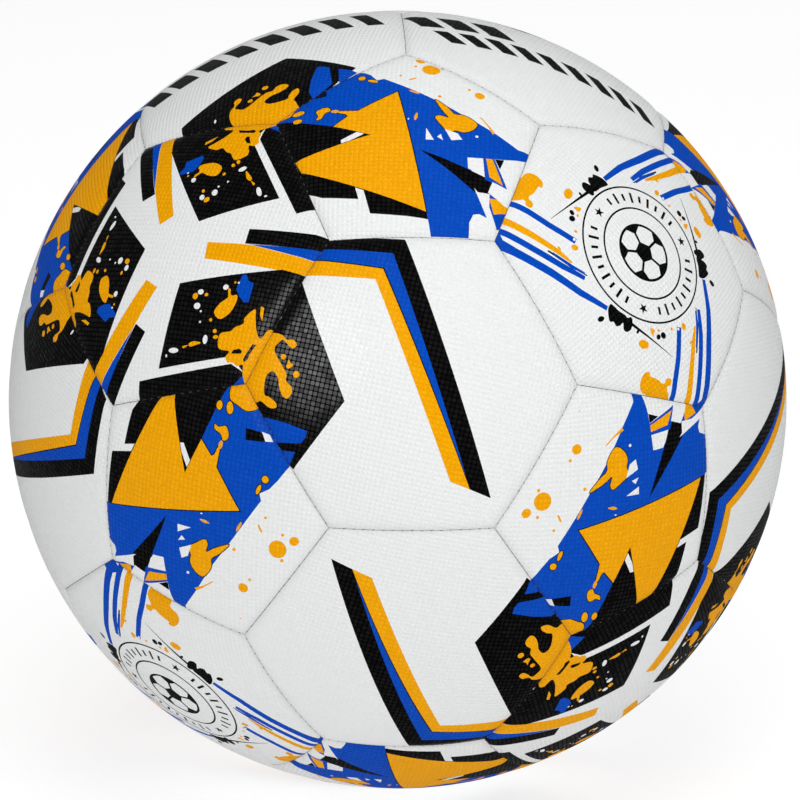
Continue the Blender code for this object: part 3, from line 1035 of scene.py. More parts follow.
def block_drops():
    whites = [(13.1, -7.8, 0.85, 0.7), (19.5, -4.7, 0.8, 0.7), (13.6, -11.4, 0.95, 0.85),
              (19.3, -18.9, 0.7, 1.2), (11.1, -24.0, 1.5, 0.7), (9.4, -25.9, 0.3, 0.45),
              (15.2, -12.4, 0.3, 0.3), (16.1, -15.0, 0.3, 0.3), (22.5, -2.6, 0.3, 0.3)]
    oranges = [(12.0, -9.2, 0.75, 0.85), (15.0, -8.0, 0.55, 0.45), (18.9, -13.7, 0.45, 0.5),
               (21.2, -16.1, 0.6, 0.55), (22.0, -17.5, 0.75, 0.55), (21.5, -2.8, 0.3, 0.3)]
    shapes = [drop("white", *facts, 15) for facts in whites]
    shapes += [drop("orange", *facts, 20) for facts in oranges]
    return shapes + [
        splash("orange", (15.0, -21.2), (16.2, -20.2), (18.4, -20.0), (16.8, -21.2), (15.6, -21.8)),
        splash("orange", (13.4, -22.3), (14.9, -21.6), (14.6, -22.0), (13.9, -22.7)),
    ]


def block_print():
    return three_times(block_ground() + block_splash() + block_drops())


print(len(block_print()), "shapes on a block panel")

# %% [markdown]
# ## The shape of a panel
#
# A sewn panel is nearly a piece of the ball, but its edge is pulled in by the thread, so
# it rolls down into a fine groove. A subdivided cage could round the edge, but not by a
# known amount. Here a bell curve of the distance to the seam says how far the skin is
# pulled in, and near a corner its seams are blended, so that the roll goes round it
# softly. One class holds this, because every point of a panel's skin, wall and backing
# comes from the same flat drawing.

# %% From the flat drawing to the ball
GAP_HALF = 0.07              # mm, half the free width between two panels
ROLL_DEPTH = 0.62            # mm, how far the edge is pulled in
ROLL_WIDTH = 1.25            # mm
ROLL_POWER = 1.3             # 2 would be a true bell curve
SOFT_CORNER = 0.5            # mm, rounds the panel's corners
NORMAL_STEP = 0.02           # mm


class Panel:
    """A panel's flat outline and the surface it makes on the ball."""

    def __init__(self, kind, turn):
        self.outline = OUTLINES[kind]
        axes = [TURNS[turn] @ axis for axis in kind_axes(kind)]
        self.middle, self.right, self.up = (np.array(axis) for axis in axes)
        start = self.spread(self.outline)
        inward = np.cross(start, np.roll(start, -1, 0))
        self.seam_normals = inward / np.linalg.norm(inward, axis=1)[:, None]
        self.half_width = math.asin(float(np.min(self.seam_normals @ self.middle)))

    def spread(self, flat):
        """Directions from the ball's centre to points of the flat drawing."""
        aim = BALL * self.middle + flat[:, :1] * self.right + flat[:, 1:] * self.up
        return aim / np.linalg.norm(aim, axis=1)[:, None]

    def shrunk(self, inset):
        """How much smaller an outline is that lies inset mm in from the seams."""
        return math.tan(self.half_width - inset / BALL) / math.tan(self.half_width)

    def seam_distance(self, aim):
        """Distance along the cover to the nearest seam, with soft corners, never below 0."""
        apart = BALL * np.arcsin(np.clip(aim @ self.seam_normals.T, -1, 1))
        nearest = apart.min(axis=1)
        soft = np.exp(-(apart - nearest[:, None]) / SOFT_CORNER).sum(axis=1)
        return np.maximum(nearest - SOFT_CORNER * np.log(soft), 0)

    def skin(self, flat):
        """Points of the outer skin in mm."""
        aim = self.spread(flat)
        pulled = ROLL_DEPTH * np.exp(-(self.seam_distance(aim) / ROLL_WIDTH) ** ROLL_POWER)
        return aim * (BALL - pulled)[:, None]

    def skin_normals(self, flat):
        """The skin's true normals, from two short steps across it."""
        across = self.skin(flat + (NORMAL_STEP, 0)) - self.skin(flat - (NORMAL_STEP, 0))
        along = self.skin(flat + (0, NORMAL_STEP)) - self.skin(flat - (0, NORMAL_STEP))
        normals = np.cross(across, along)
        return normals / np.linalg.norm(normals, axis=1)[:, None]


sample = Panel("chevron", (0, 0))
print(f"a six-sided panel is {2 * math.degrees(sample.half_width):.1f} degrees of the ball across")

# %% [markdown]
# ## Triangles between outlines
#
# The skin could be a smooth cage with the print as a texture. Here the ink's outlines
# are edges of the mesh instead, so that each ink is a material with a clean border at
# any distance. A constrained Delaunay triangulation does that: it takes the outlines,
# the rings that shape the rolled edge and a loose lattice of points, and joins them all
# into triangles.

# %% Flat geometry
TOO_CLOSE = 0.0005           # mm, points nearer than this become one


def divided(outline, step):
    """The outline with points added so that no edge is longer than step."""
    pieces = []
    for start, end in zip(outline, np.roll(outline, -1, 0)):
        count = max(1, math.ceil(np.linalg.norm(end - start) / step))
        pieces.append(start + (end - start) * np.arange(count)[:, None] / count)
    return np.concatenate(pieces)


def inside(points, outline):
    """Which points lie in a closed outline."""
    x, y = points[:, :1], points[:, 1:]
    ax, ay = outline[:, 0], outline[:, 1]
    bx, by = np.roll(ax, -1), np.roll(ay, -1)
    crosses = (ay > y) != (by > y)
    rise = np.where(by == ay, 1.0, by - ay)
    at = ax + (y - ay) * (bx - ax) / rise
    return (crosses & (x < at)).sum(axis=1) % 2 == 1


def lattice_in(outline, step, hole_radius=0.0):
    """A loose triangular lattice in the outline, clear of a round hole in its middle."""
    low, high = outline.min(0), outline.max(0)
    rows = np.arange(low[1], high[1], step * math.sqrt(3) / 2)
    points = np.array([(x, y) for k, y in enumerate(rows)
                       for x in np.arange(low[0] + (k % 2) * step / 2, high[0], step)])
    points = points[inside(points, outline)]
    return points[np.linalg.norm(points, axis=1) > hole_radius] if hole_radius else points


def triangulated(loops, loose, rim, holes=()):
    """Points, the triangles that lie in the rim but in no hole, and where each loop's
    points went."""
    points, edges = [], []
    for loop in loops:
        first = len(points)
        points += [Vector(p) for p in loop]
        edges += [(first + k, first + (k + 1) % len(loop)) for k in range(len(loop))]
    points += [Vector(p) for p in loose]
    made = delaunay_2d_cdt(points, edges, [], 0, TOO_CLOSE)
    places = {old: new for new, olds in enumerate(made[3]) for old in olds}
    points, triangles = np.array([tuple(p) for p in made[0]]), np.array(made[2])
    middles = points[triangles].mean(axis=1)
    kept = inside(middles, rim)
    for hole in holes:
        kept &= ~inside(middles, hole)
    return points, triangles[kept], places


print("flat geometry ready")

# %% [markdown]
# ## The printed skin
#
# Each triangle is painted by where its middle lies, the last shape of the print winning.
# Stripes that cross a seam run a little past it in their drawing, and the panel's edge
# cuts them off, as the die does in the factory.

# %% Triangulate and paint the skin
RING_INSETS = (GAP_HALF, 0.3, 0.6, 1.0, 1.5, 2.2, 3.2, 4.6)  # mm from the seam
RING_STEP = 2.2              # mm along a ring
CORE_INSET = RING_INSETS[-1] + 1.2
LATTICE_STEP = 3.0           # mm between the loose points
OUTLINE_STEP = 2.0           # mm along an ink's outline
HOLE_POINTS = 64
HOLE_MARGIN = 1.0            # mm round the valve's hole without loose points
INK_ORDER = tuple(INKS)


def painted(points, triangles, shapes):
    """The ink of each triangle, as its number in INK_ORDER."""
    middles = points[triangles].mean(axis=1)
    inks = np.zeros(len(triangles), int)
    for ink, outline in shapes:
        inks[inside(middles, outline)] = INK_ORDER.index(ink)
    return inks


def printed_skin(panel, shapes, hole_radius):
    """Flat points, triangles and the ink of each triangle."""
    core = panel.outline * panel.shrunk(CORE_INSET)
    loose = lattice_in(core, LATTICE_STEP, hole_radius + HOLE_MARGIN if hole_radius else 0.0)
    loops = [divided(panel.outline * panel.shrunk(inset), RING_STEP) for inset in RING_INSETS]
    loops += [divided(outline, OUTLINE_STEP) for _, outline in shapes]
    holes = [hole_radius * circle(HOLE_POINTS)] if hole_radius else []
    edge = panel.outline * panel.shrunk(GAP_HALF)
    points, triangles, _ = triangulated(loops + holes, loose, edge, holes)
    used, triangles = np.unique(triangles, return_inverse=True)
    points, triangles = points[used], triangles.reshape(-1, 3)
    return points, triangles, painted(points, triangles, shapes)


sample_skin = printed_skin(sample, chevron_print(), 0.0)
print(len(sample_skin[1]), "triangles of skin on a chevron panel")

# %% [markdown]
# ## Walls, hem and backing
#
# From the skin's border the wall goes straight down beside the seam, parts from its
# neighbour where the thread lies, and turns back under as a hem. Round the valve's hole
# it only goes down. A textile backing closes the panel below. Solidify would give an even
# thickness, but no hem, so the rings are placed one by one from the CAD panel's sizes. A
# border is found by its half-edges: inside the skin each has a twin in the next triangle,
# and at a border it has none.

# %% A solid and its borders
class Solid:
    """The points, faces and paint of a closed panel, gathered from the skin downwards."""

    def __init__(self, panel, flat, triangles, inks):
        self.panel = panel
        self.places = [panel.skin(flat)]
        self.flats = [flat]
        self.faces = triangles.tolist()
        self.paint = inks.tolist()
        self.count = len(flat)

    def add_points(self, flat, depth):
        """Points at a depth below the ball's surface: their numbers."""
        self.places.append(self.panel.spread(flat) * (BALL - depth))
        self.flats.append(flat)
        self.count += len(flat)
        return list(range(self.count - len(flat), self.count))

    def add_face(self, corners, paint):
        self.faces.append(corners)
        self.paint.append(paint)


def edge_inks(triangles, inks):
    """The ink beside each half-edge."""
    return {(a, b): ink for t, ink in zip(triangles.tolist(), inks.tolist())
            for a, b in zip(t, t[1:] + t[:1])}


def border_chains(triangles):
    """The half-edges that only one triangle has, as one list of points per closed chain."""
    half_edges = {(a, b) for t in triangles.tolist() for a, b in zip(t, t[1:] + t[:1])}
    following = {a: b for a, b in half_edges if (b, a) not in half_edges}
    chains = []
    while following:
        start = next(iter(following))
        chain = [start]
        point = following.pop(start)
        while point != start:
            chain.append(point)
            point = following.pop(point)
        chains.append(chain)
    return chains


print(len(border_chains(sample_skin[1])), "border on a panel without a hole")

# %% [markdown]
# ## Closing a panel
#
# A wall is a few rings of points, each joined to the one above by a row of four-sided
# faces. Below, the lowest ring is filled by the same triangulation as the skin, with its
# triangles turned over so that they face inwards to the ball's centre, which is outwards
# for the panel.

# %% Walls and backing
LAMINATE = 3.0               # mm, thickness of skin, foam and backing together
HEM_STRAIGHT = 4.4           # mm, the hems lie side by side down to here
HEM_DEPTH = 5.5              # mm
HEM_PART_INSET = 1.35        # mm from the seam
HEM_INNER_INSET = 2.5        # mm from the seam
VALVE_HOLE_RADIUS = 4.2      # mm
BACKING = len(INK_ORDER)     # its place in a panel's list of materials
BACKING_SHARE = 0.85         # of the outline that has loose points
BACKING_STEP = 9.0           # mm between them


def wall_rings(panel, border):
    """Each ring below a border: its share of the border's size, its depth and its paint.
    The upper wall of a seam takes the ink above it, so its paint is None."""
    if np.linalg.norm(border, axis=1).max() < 2 * VALVE_HOLE_RADIUS:
        return [(1.0, LAMINATE, BACKING)]
    edge = panel.shrunk(GAP_HALF)
    parted, inner = panel.shrunk(HEM_PART_INSET) / edge, panel.shrunk(HEM_INNER_INSET) / edge
    return [(1.0, HEM_STRAIGHT, None), (parted, HEM_DEPTH, BACKING), (inner, HEM_DEPTH, BACKING),
            (inner, LAMINATE, BACKING)]


def add_wall(solid, border, chain, ink_beside):
    """The wall below one border: the lowest ring's flat points and their numbers."""
    above = list(chain)
    for size, depth, paint in wall_rings(solid.panel, border):
        ring = border * size
        below = solid.add_points(ring, depth)
        for k in range(len(chain)):
            j = (k + 1) % len(chain)
            ink = ink_beside[chain[k], chain[j]] if paint is None else paint
            solid.add_face((above[j], above[k], below[k], below[j]), ink)
        above = below
    return ring, above


def add_backing(solid, lowest):
    """Close the panel between the lowest rings of its walls."""
    rings = [ring for ring, _ in lowest]
    rim = max(rings, key=lambda ring: np.abs(ring).max())
    holes = [ring for ring in rings if ring is not rim]
    loose = lattice_in(solid.panel.outline * BACKING_SHARE, BACKING_STEP, BACKING_STEP if holes else 0.0)
    under, triangles, moved = triangulated(rings, loose, rim, holes)
    numbers = [number for _, ring_numbers in lowest for number in ring_numbers]
    known = {moved[k]: number for k, number in enumerate(numbers)}
    extra = [k for k in range(len(under)) if k not in known]
    known.update(zip(extra, solid.add_points(under[extra], LAMINATE)))
    for t in triangles.tolist():
        solid.add_face(tuple(known[k] for k in reversed(t)), BACKING)


def closed_panel(panel, flat, triangles, inks):
    solid = Solid(panel, flat, triangles, inks)
    ink_beside = edge_inks(triangles, inks)
    lowest = [add_wall(solid, flat[chain], chain, ink_beside) for chain in border_chains(triangles)]
    add_backing(solid, lowest)
    return solid


print(len(closed_panel(sample, *sample_skin).faces), "faces on the whole panel")

# %% [markdown]
# ## A panel as an object
#
# The arrays become a mesh with a UV map for the emboss and an attribute that says how
# near the seam is. Blender's own normals would follow the long thin triangles along an
# ink border, and the gloss would show them, so the skin's normals are set from the
# formula of its surface.

# %% Make a panel's object
SEAM_SHADE_WIDTH = 0.8       # mm, how far from the seam the painted shade reaches
PIMPLE_TURN = {"chevron": -13, "star": -4, "ring": 20, "block": 9}  # degrees


def write_skin_map(mesh, flats, kind):
    """A UV map whose unit is one pimple, turned as the roller lay on this kind of panel."""
    rolled = turned(flats, -PIMPLE_TURN[kind]) / PIMPLE_PITCH
    corners = np.zeros(len(mesh.loops), np.int32)
    mesh.loops.foreach_get("vertex_index", corners)
    layer = mesh.uv_layers.new(name=SKIN_MAP)
    layer.data.foreach_set("uv", rolled[corners].astype(np.float32).ravel())


def write_seam_nearness(mesh, panel, flats):
    """1 in the seam, 0 a few widths away."""
    away = panel.seam_distance(panel.spread(flats))
    layer = mesh.attributes.new(SEAM_NEARNESS, "FLOAT", "POINT")
    layer.data.foreach_set("value", np.exp(-away / SEAM_SHADE_WIDTH).astype(np.float32))


def write_normals(mesh, normals, skin_count):
    """True normals on the skin, and flat faces below it."""
    corner_normals = []
    for polygon in mesh.polygons:
        if polygon.index < skin_count:
            corner_normals += [normals[v] for v in polygon.vertices]
        else:
            corner_normals += [tuple(polygon.normal)] * polygon.loop_total
    mesh.normals_split_custom_set(corner_normals)


def linked(name, mesh):
    """A mesh as an object of the scene, at the origin."""
    piece = bpy.data.objects.new(name, mesh)
    scene.collection.objects.link(piece)
    return piece


def panel_piece(name, kind, turn, shapes, materials, hole_radius):
    panel = Panel(kind, turn)
    flat, triangles, inks = printed_skin(panel, shapes, hole_radius)
    solid = closed_panel(panel, flat, triangles, inks)
    mesh = bpy.data.meshes.new(name)
    mesh.from_pydata((np.concatenate(solid.places) * MM).tolist(), [], solid.faces)
    for material in materials:
        mesh.materials.append(material)
    mesh.polygons.foreach_set("material_index", np.array(solid.paint, np.int32))
    mesh.shade_smooth()
    flats = np.concatenate(solid.flats)
    write_skin_map(mesh, flats, kind)
    write_seam_nearness(mesh, panel, flats)
    write_normals(mesh, panel.skin_normals(flat), len(triangles))
    return linked(name, mesh)


print("panel builder ready")

# %% [markdown]
# ## The backing
#
# Under the skin each panel is a woven textile bonded to foam. It can only be seen down
# in a seam or with the ball cut open, but a panel without it would be a painted shell.
# A weave is two crossed sets of bands, and the higher of the two is the thread on top.

# %% The backing's weave
BACKING_THREAD = 0.5 * MM
BANDS_PER_UNIT = 3           # a wave texture shows about so many bands for a scale of 1


def woven_finish(name, light, dark, pitch, roughness):
    """A plain weave on Object coordinates: two sets of threads that pass over in turn."""
    material, tree, shader = new_finish(name)
    place = on_piece(tree)
    crossed = tree.node("ShaderNodeMapping", None, {"Vector": place, "Rotation": (0, 0, math.pi / 2)})
    wave = {"wave_type": "BANDS", "bands_direction": "DIAGONAL"}
    scale = 1 / pitch / BANDS_PER_UNIT
    warp, weft = (tree.node("ShaderNodeTexWave", wave, {"Vector": way, "Scale": scale}, "Fac")
                  for way in (place, crossed))
    fuzz = noise(tree, place, 2400.0)
    threads = tree.maths("MAXIMUM", warp, weft)
    # Between the threads, where the weave lies low, the colour is darker: painted shade.
    share = (threads * 0.8 + fuzz * 0.3).kept_in_unit()
    feed(shader, "Base Color", mixed(tree, share, dark, light))
    feed(shader, "Roughness", roughness)
    emboss(tree, shader, (threads + fuzz * 0.2) * (pitch * 0.2))
    return material


backing_material = woven_finish(
    "panel_backing", (0.7, 0.68, 0.62), (0.4, 0.38, 0.34), BACKING_THREAD, 0.9)
print("backing:", backing_material.name)

# %% [markdown]
# ## All 32 panels
#
# No panel is cut quite true to its print, so each drawing sits a millimetre or so off
# the middle. The shifts that are known are listed, and a fixed seed scatters the rest.
# Two panels at the top carry slanted bars in place of the chevron. Each object rides the
# ball's one body and replaces its CAD node.

# %% Make the panels
SCATTER_SEED = 32
SCATTER = 0.7                # mm
REGISTRATION = {
    # (kind, turn): how far the print sits off the middle, in mm
    ("chevron", (0, 0)): (0.0, 0.0),
    ("chevron", (0, 2)): (0.5, 0.0),
    ("chevron", (1, 1)): (0.0, -4.0),
    ("chevron", (2, 2)): (3.0, -1.5),
    ("star", (0, 0)): (0.0, 0.0),
    ("star", (0, 2)): (0.7, 0.9),
    ("star", (2, 2)): (4.6, 0.7),
    ("ring", (0, 0)): (0.0, 0.0),
    ("ring", (2, 3)): (-2.3, -0.4),
    ("block", (0, 0)): (0.0, 0.0),
    ("block", (2, 0)): (2.8, -1.2),
}
PRINTS = {"chevron": chevron_print, "star": star_print, "ring": ring_print, "block": block_print}
BAR_PRINTS = {("chevron", (2, 1)): double_bar_print, ("chevron", (2, 2)): long_bar_print}


def known_turn(kind, turn):
    """The turn that REGISTRATION uses for this panel, where several bring the drawing there."""
    middle = TURNS[turn] @ KIND_MIDDLES[kind]
    same = [t for t in TURNS if (TURNS[t] @ KIND_MIDDLES[kind] - middle).length < NEAR]
    return next((t for t in same if (kind, t) in REGISTRATION), turn)


def add_to_ball(piece, node_name):
    """Ride the ball's body, in the place of a CAD node: how many triangles that adds."""
    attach(piece, "root")
    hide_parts(node_name)
    return sum(len(polygon.vertices) - 2 for polygon in piece.data.polygons)


def make_cover():
    chance = np.random.default_rng(SCATTER_SEED)
    materials = [INK_MATERIALS[ink] for ink in INK_ORDER] + [backing_material]
    total = 0
    for node_name in COVER_NODES:
        kind, turn = PLACES[node_name]
        turn = known_turn(kind, turn)
        scattered = chance.uniform(-SCATTER, SCATTER, 2)
        shift = np.array(REGISTRATION.get((kind, turn), scattered))
        drawing = BAR_PRINTS.get((kind, turn), PRINTS[kind])()
        shapes = [(ink, outline + shift) for ink, outline in drawing]
        hole = VALVE_HOLE_RADIUS if node_name == "hex_panel_valve" else 0.0
        piece = panel_piece(f"sewn_{node_name}", kind, turn, shapes, materials, hole)
        total += add_to_ball(piece, node_name)
    return total


print(f"cover of {make_cover()} triangles")

# %% [markdown]
# ## The seams as lines
#
# Waxed thread joins each pair of hems. From outside only the short bits show that cross
# the groove, one every couple of millimetres; underneath a pair of threads runs on along
# the seam. Both follow the ninety seams, so the seams come first, as plain open lines on
# the ball. A seam joins two corners that are as near to each other as any two are.

# %% The seam lines
SEAM_POINTS = 12
SEAM_END = 0.035             # share of a seam left free at each corner


def seam_ends():
    """The corners that each seam joins, once for each seam."""
    closest = min((CORNERS[0] - corner).length for corner in CORNERS[1:])
    return [(p, q) for i, p in enumerate(CORNERS) for q in CORNERS[i + 1:]
            if (p - q).length < closest * (1 + NEAR)]


def seam_lines(name):
    """One mesh of open lines along the seams, at the ball's radius."""
    points, edges = [], []
    for start, end in SEAMS:
        first = len(points)
        for k in range(SEAM_POINTS + 1):
            share = SEAM_END + (1 - 2 * SEAM_END) * k / SEAM_POINTS
            points.append(start.lerp(end, share).normalized() * BALL * MM)
        edges += [(first + k, first + k + 1) for k in range(SEAM_POINTS)]
    mesh = bpy.data.meshes.new(name)
    mesh.from_pydata(points, edges, [])
    return linked(name, mesh)


SEAMS = seam_ends()
print(len(SEAMS), "seams")

# %% [markdown]
# ## The thread's finish
#
# The thread is twisted from plies and waxed. A slanting wave stands for the plies, noise
# for the fuzz between them, and a little sheen for the wax. All of it is scaled by the
# thread's radius, so that a thinner thread would look like the same stuff.

# %% Waxed thread
STITCH_RADIUS = 0.13 * MM
# The thread is near black, so that its short bits show as dark dashes where the stitch holes are shaded:
# painted shade.
THREAD_PALE = (0.11, 0.11, 0.112)
THREAD_DARK = (0.035, 0.034, 0.036)


def thread_finish(name, radius):
    """Twisted waxed thread: slanting plies, a little fuzz and a waxy sheen."""
    material, tree, shader = new_finish(name)
    place = on_piece(tree)
    plies = tree.node("ShaderNodeTexWave", {"bands_direction": "DIAGONAL"},
                      {"Vector": place, "Scale": 0.12 / radius, "Distortion": 1.5}, "Fac")
    fuzz = noise(tree, place, 1.6 / radius)
    # The grooves between the plies take the darker colour: painted shade.
    share = (plies * 0.7 + fuzz * 0.4).kept_in_unit()
    feed(shader, "Base Color", mixed(tree, share, THREAD_DARK, THREAD_PALE))
    feed(shader, "Roughness", 0.75 - 0.2 * plies)
    feed(shader, "Sheen Weight", 0.15)
    emboss(tree, shader, (plies + fuzz * 0.3) * (radius * 0.3))
    return material


thread_material = thread_finish("waxed_thread", STITCH_RADIUS)
print("thread:", thread_material.name)

# %% [markdown]
# ## Sewing by rule
#
# Ninety seams with some fifteen stitches each are a rule, not a shape, so a Geometry
# Nodes tree lays them. It reads the seams as curves, spaces points along them, sinks the
# points into the groove and puts one small arch of thread on each, turned along the seam
# and upright on the ball. The running thread is the same curves, sunk deeper and given a
# round section. The sizes are inputs of the tree, so that one tree fits any ball.

# %% Parts of the tree
STITCH_SIDES = 6
ARCH_STEPS = 5
ARCH_RISE = 1.6              # how far an arch's handle stands up, in thread radii


def empty_tree(name, geometry_in, sizes, geometry_out):
    """A Geometry Nodes tree: its inputs as Wires by name, and its output socket."""
    tree = bpy.data.node_groups.new(name, "GeometryNodeTree")
    tree.interface.new_socket(geometry_in, in_out="INPUT", socket_type="NodeSocketGeometry")
    for size in sizes:
        tree.interface.new_socket(size, in_out="INPUT", socket_type="NodeSocketFloat")
    tree.interface.new_socket(geometry_out, in_out="OUTPUT", socket_type="NodeSocketGeometry")
    outputs = tree.nodes.new("NodeGroupInput").outputs
    given = {socket.name: Wire(tree, socket) for socket in outputs if socket.name}
    return tree, given, tree.nodes.new("NodeGroupOutput").inputs[0]


def sunk(sewn, curve, depth, outward_way):
    """The curve moved towards the ball's centre."""
    move = sewn.node("ShaderNodeVectorMath", {"operation": "SCALE"}, {0: outward_way, "Scale": depth * -1.0})
    return sewn.node("GeometryNodeSetPosition", None, {"Geometry": curve, "Offset": move})


def tube(sewn, curve, radius):
    """A curve with a round section and closed ends."""
    section = sewn.node("GeometryNodeCurvePrimitiveCircle", None,
                        {"Resolution": STITCH_SIDES, "Radius": radius})
    return sewn.node("GeometryNodeCurveToMesh", None,
                     {"Curve": curve, "Profile Curve": section, "Fill Caps": True})


def stitch_bit(sewn, given):
    """One arch of thread along X, with its ends down."""
    start_x = given["Span"] * -1.0
    start = sewn.node("ShaderNodeCombineXYZ", None, {"X": start_x, "Z": start_x})
    top = sewn.node("ShaderNodeCombineXYZ", None, {"Z": given["Radius"] * ARCH_RISE})
    end = sewn.node("ShaderNodeCombineXYZ", None, {"X": given["Span"], "Z": start_x})
    arch = sewn.node("GeometryNodeCurveQuadraticBezier", None,
                     {"Resolution": ARCH_STEPS, "Start": start, "Middle": top, "End": end})
    return tube(sewn, arch, given["Radius"])


print("parts of the sewing tree ready")

# %% [markdown]
# ### The whole tree
#
# The node that makes instances takes the points, one stitch, a rotation and a size for
# each. The rotation is made in two steps: X along the seam, then Z outwards about that X.
# Instances are made real at the end, and everything gets the thread's material.

# %% The tree that sews
STITCH_SEED = 90
STITCH_SCALES = (0.85, 1.15)  # how much smaller or larger a stitch may be
SEWING_SIZES = ("Pitch", "Span", "Radius", "Depth", "Run Depth", "Run Radius")


def sewing_tree():
    """Seam lines in; arches of thread and the threads below out."""
    tree, given, result = empty_tree("sewing", "Seams", SEWING_SIZES, "Thread")
    sewn = Wire(tree)
    lines = sewn.node("GeometryNodeMeshToCurve", None, {"Mesh": given["Seams"]})
    outward_way = sewn.vectors("NORMALIZE", sewn.node("GeometryNodeInputPosition"))
    spaced = sewn.node("GeometryNodeResampleCurve", {"mode": "LENGTH"},
                       {"Curve": lines, "Length": given["Pitch"]})
    spots = sunk(sewn, spaced, given["Depth"], outward_way)
    along = sewn.node("FunctionNodeAlignRotationToVector", {"axis": "X"},
                      {"Vector": sewn.node("GeometryNodeInputTangent")})
    upright = sewn.node("FunctionNodeAlignRotationToVector", {"axis": "Z", "pivot_axis": "X"},
                        {"Rotation": along, "Vector": outward_way})
    size = sewn.node("FunctionNodeRandomValue", {"data_type": "FLOAT"},
                     {2: STITCH_SCALES[0], 3: STITCH_SCALES[1], "Seed": STITCH_SEED}, 1)
    bits = sewn.node("GeometryNodeInstanceOnPoints", None,
                     {"Points": spots, "Instance": stitch_bit(sewn, given),
                      "Rotation": upright, "Scale": size})
    run = tube(sewn, sunk(sewn, lines, given["Run Depth"], outward_way), given["Run Radius"])
    both = sewn.node("GeometryNodeJoinGeometry", None, {0: bits})
    tree.links.new(run.socket, both.socket.node.inputs[0])
    real = sewn.node("GeometryNodeRealizeInstances", None, {"Geometry": both})
    smooth = sewn.node("GeometryNodeSetShadeSmooth", None, {"Geometry": real})
    dressed = sewn.node("GeometryNodeSetMaterial", None, {"Geometry": smooth, "Material": thread_material})
    tree.links.new(dressed.socket, result)
    return tree


sewing = sewing_tree()
print(len(sewing.nodes), "nodes in the sewing tree")

# %% [markdown]
# ## The stitching as a mesh
#
# A modifier runs the tree on the seam lines. Its inputs are set by their identifiers,
# which stay the same when a name changes. The result is kept as a plain mesh, because
# what is exported may hold no live modifier.

# %% Sew the ball
STITCHING = {
    "Pitch": 2.25 * MM,
    "Span": 0.36 * MM,           # half the length of a visible bit
    "Radius": STITCH_RADIUS,
    "Depth": 0.57 * MM,          # of the visible bits, below the ball's surface
    "Run Depth": 5.05 * MM,      # of the thread under the hems
    "Run Radius": 0.26 * MM,
}


def plain_result(source, name):
    """The evaluated mesh of an object with modifiers, as a plain object in its place."""
    bpy.context.view_layer.update()
    evaluated = source.evaluated_get(bpy.context.evaluated_depsgraph_get())
    mesh = bpy.data.meshes.new_from_object(evaluated)
    mesh.name = name
    bpy.data.objects.remove(source)
    return linked(name, mesh)


def run_tree(source, tree, values, name):
    """Put the tree on the object, set its inputs by identifier, and keep the mesh."""
    modifier = source.modifiers.new(tree.name, "NODES")
    modifier.node_group = tree
    for item in tree.interface.items_tree:
        if item.in_out == "INPUT" and item.name in values:
            modifier[item.identifier] = values[item.name]
    return plain_result(source, name)


stitching = run_tree(seam_lines("seam_lines"), sewing, STITCHING, "seam_stitching")
print(add_to_ball(stitching, "seam_thread"), "triangles of thread")

# %% [markdown]
# ## Turning a piece
#
# A needle valve is two turned pieces: a black rubber body bonded to the bladder, and a
# softer greased core with a slit that the needle opens. The CAD solids have the right
# sizes but sharp edges, and a bevel would round their seam lines too. So each is turned
# again from a profile with rounded lips. The profile starts and ends on the axis, or it
# closes on itself, and either way the skin is closed.

# %% Profiles and the lathe
VALVE_AXIS = Vector((0, GOLDEN, -1 / GOLDEN)).normalized()
TURN_STEPS = 64
ROUND_STEPS = 4
ON_AXIS = 1e-6               # mm
SHARP_FROM = math.radians(40)


def along_axis(name):
    """Lowest and highest reach of a CAD node along the valve's axis, in mm."""
    reach = [v.co.dot(VALVE_AXIS) / MM for v in NODES[name].data.vertices]
    return min(reach), max(reach)


def off_axis(name):
    """Smallest and largest distance of a CAD node's points from the valve's axis, in mm."""
    off = [(v.co - VALVE_AXIS * v.co.dot(VALVE_AXIS)).length / MM for v in NODES[name].data.vertices]
    return min(off), max(off)


def rounded(corner, before, after, radius):
    """A corner of a profile cut back to a round of about the given radius."""
    corner, before, after = (Vector(p) for p in (corner, before, after))
    start = corner + (before - corner).normalized() * radius
    end = corner + (after - corner).normalized() * radius
    shares = [k / ROUND_STEPS for k in range(ROUND_STEPS + 1)]
    return [tuple(start.lerp(corner, t).lerp(corner.lerp(end, t), t)) for t in shares]


def turned_piece(name, profile, material, closed):
    """Turn (distance from the axis, height) points about the valve's axis."""
    bm = bmesh.new()
    turn = VALVE_AXIS.to_track_quat("Z", "X").to_matrix()
    loops = []
    for off, height in profile:
        steps = 1 if off < ON_AXIS else TURN_STEPS
        angles = [2 * math.pi * k / TURN_STEPS for k in range(steps)]
        loops.append([bm.verts.new(turn @ Vector((off * math.cos(a), off * math.sin(a), height)) * MM)
                      for a in angles])
    pairs = list(zip(loops, loops[1:])) + ([(loops[-1], loops[0])] if closed else [])
    for low, high in pairs:
        for k in range(TURN_STEPS):
            j = (k + 1) % TURN_STEPS
            ring = [low[k % len(low)], low[j % len(low)], high[j % len(high)], high[k % len(high)]]
            bm.faces.new(list(dict.fromkeys(ring)))
    bmesh.ops.recalc_face_normals(bm, faces=bm.faces)
    mesh = bpy.data.meshes.new(name)
    bm.to_mesh(mesh)
    bm.free()
    mesh.shade_smooth()
    mesh.set_sharp_from_angle(angle=SHARP_FROM)
    mesh.materials.append(material)
    return linked(name, mesh)


print("the valve's body reaches from {:.1f} to {:.1f} mm".format(*along_axis("valve_body")))

# %% [markdown]
# ## Rubber
#
# Moulded rubber has a fine grain from its mould, a cloudy bloom where its wax comes out,
# and pale dust in patches. The same finish in other colours and grains makes the valve,
# the bladder and the patches.

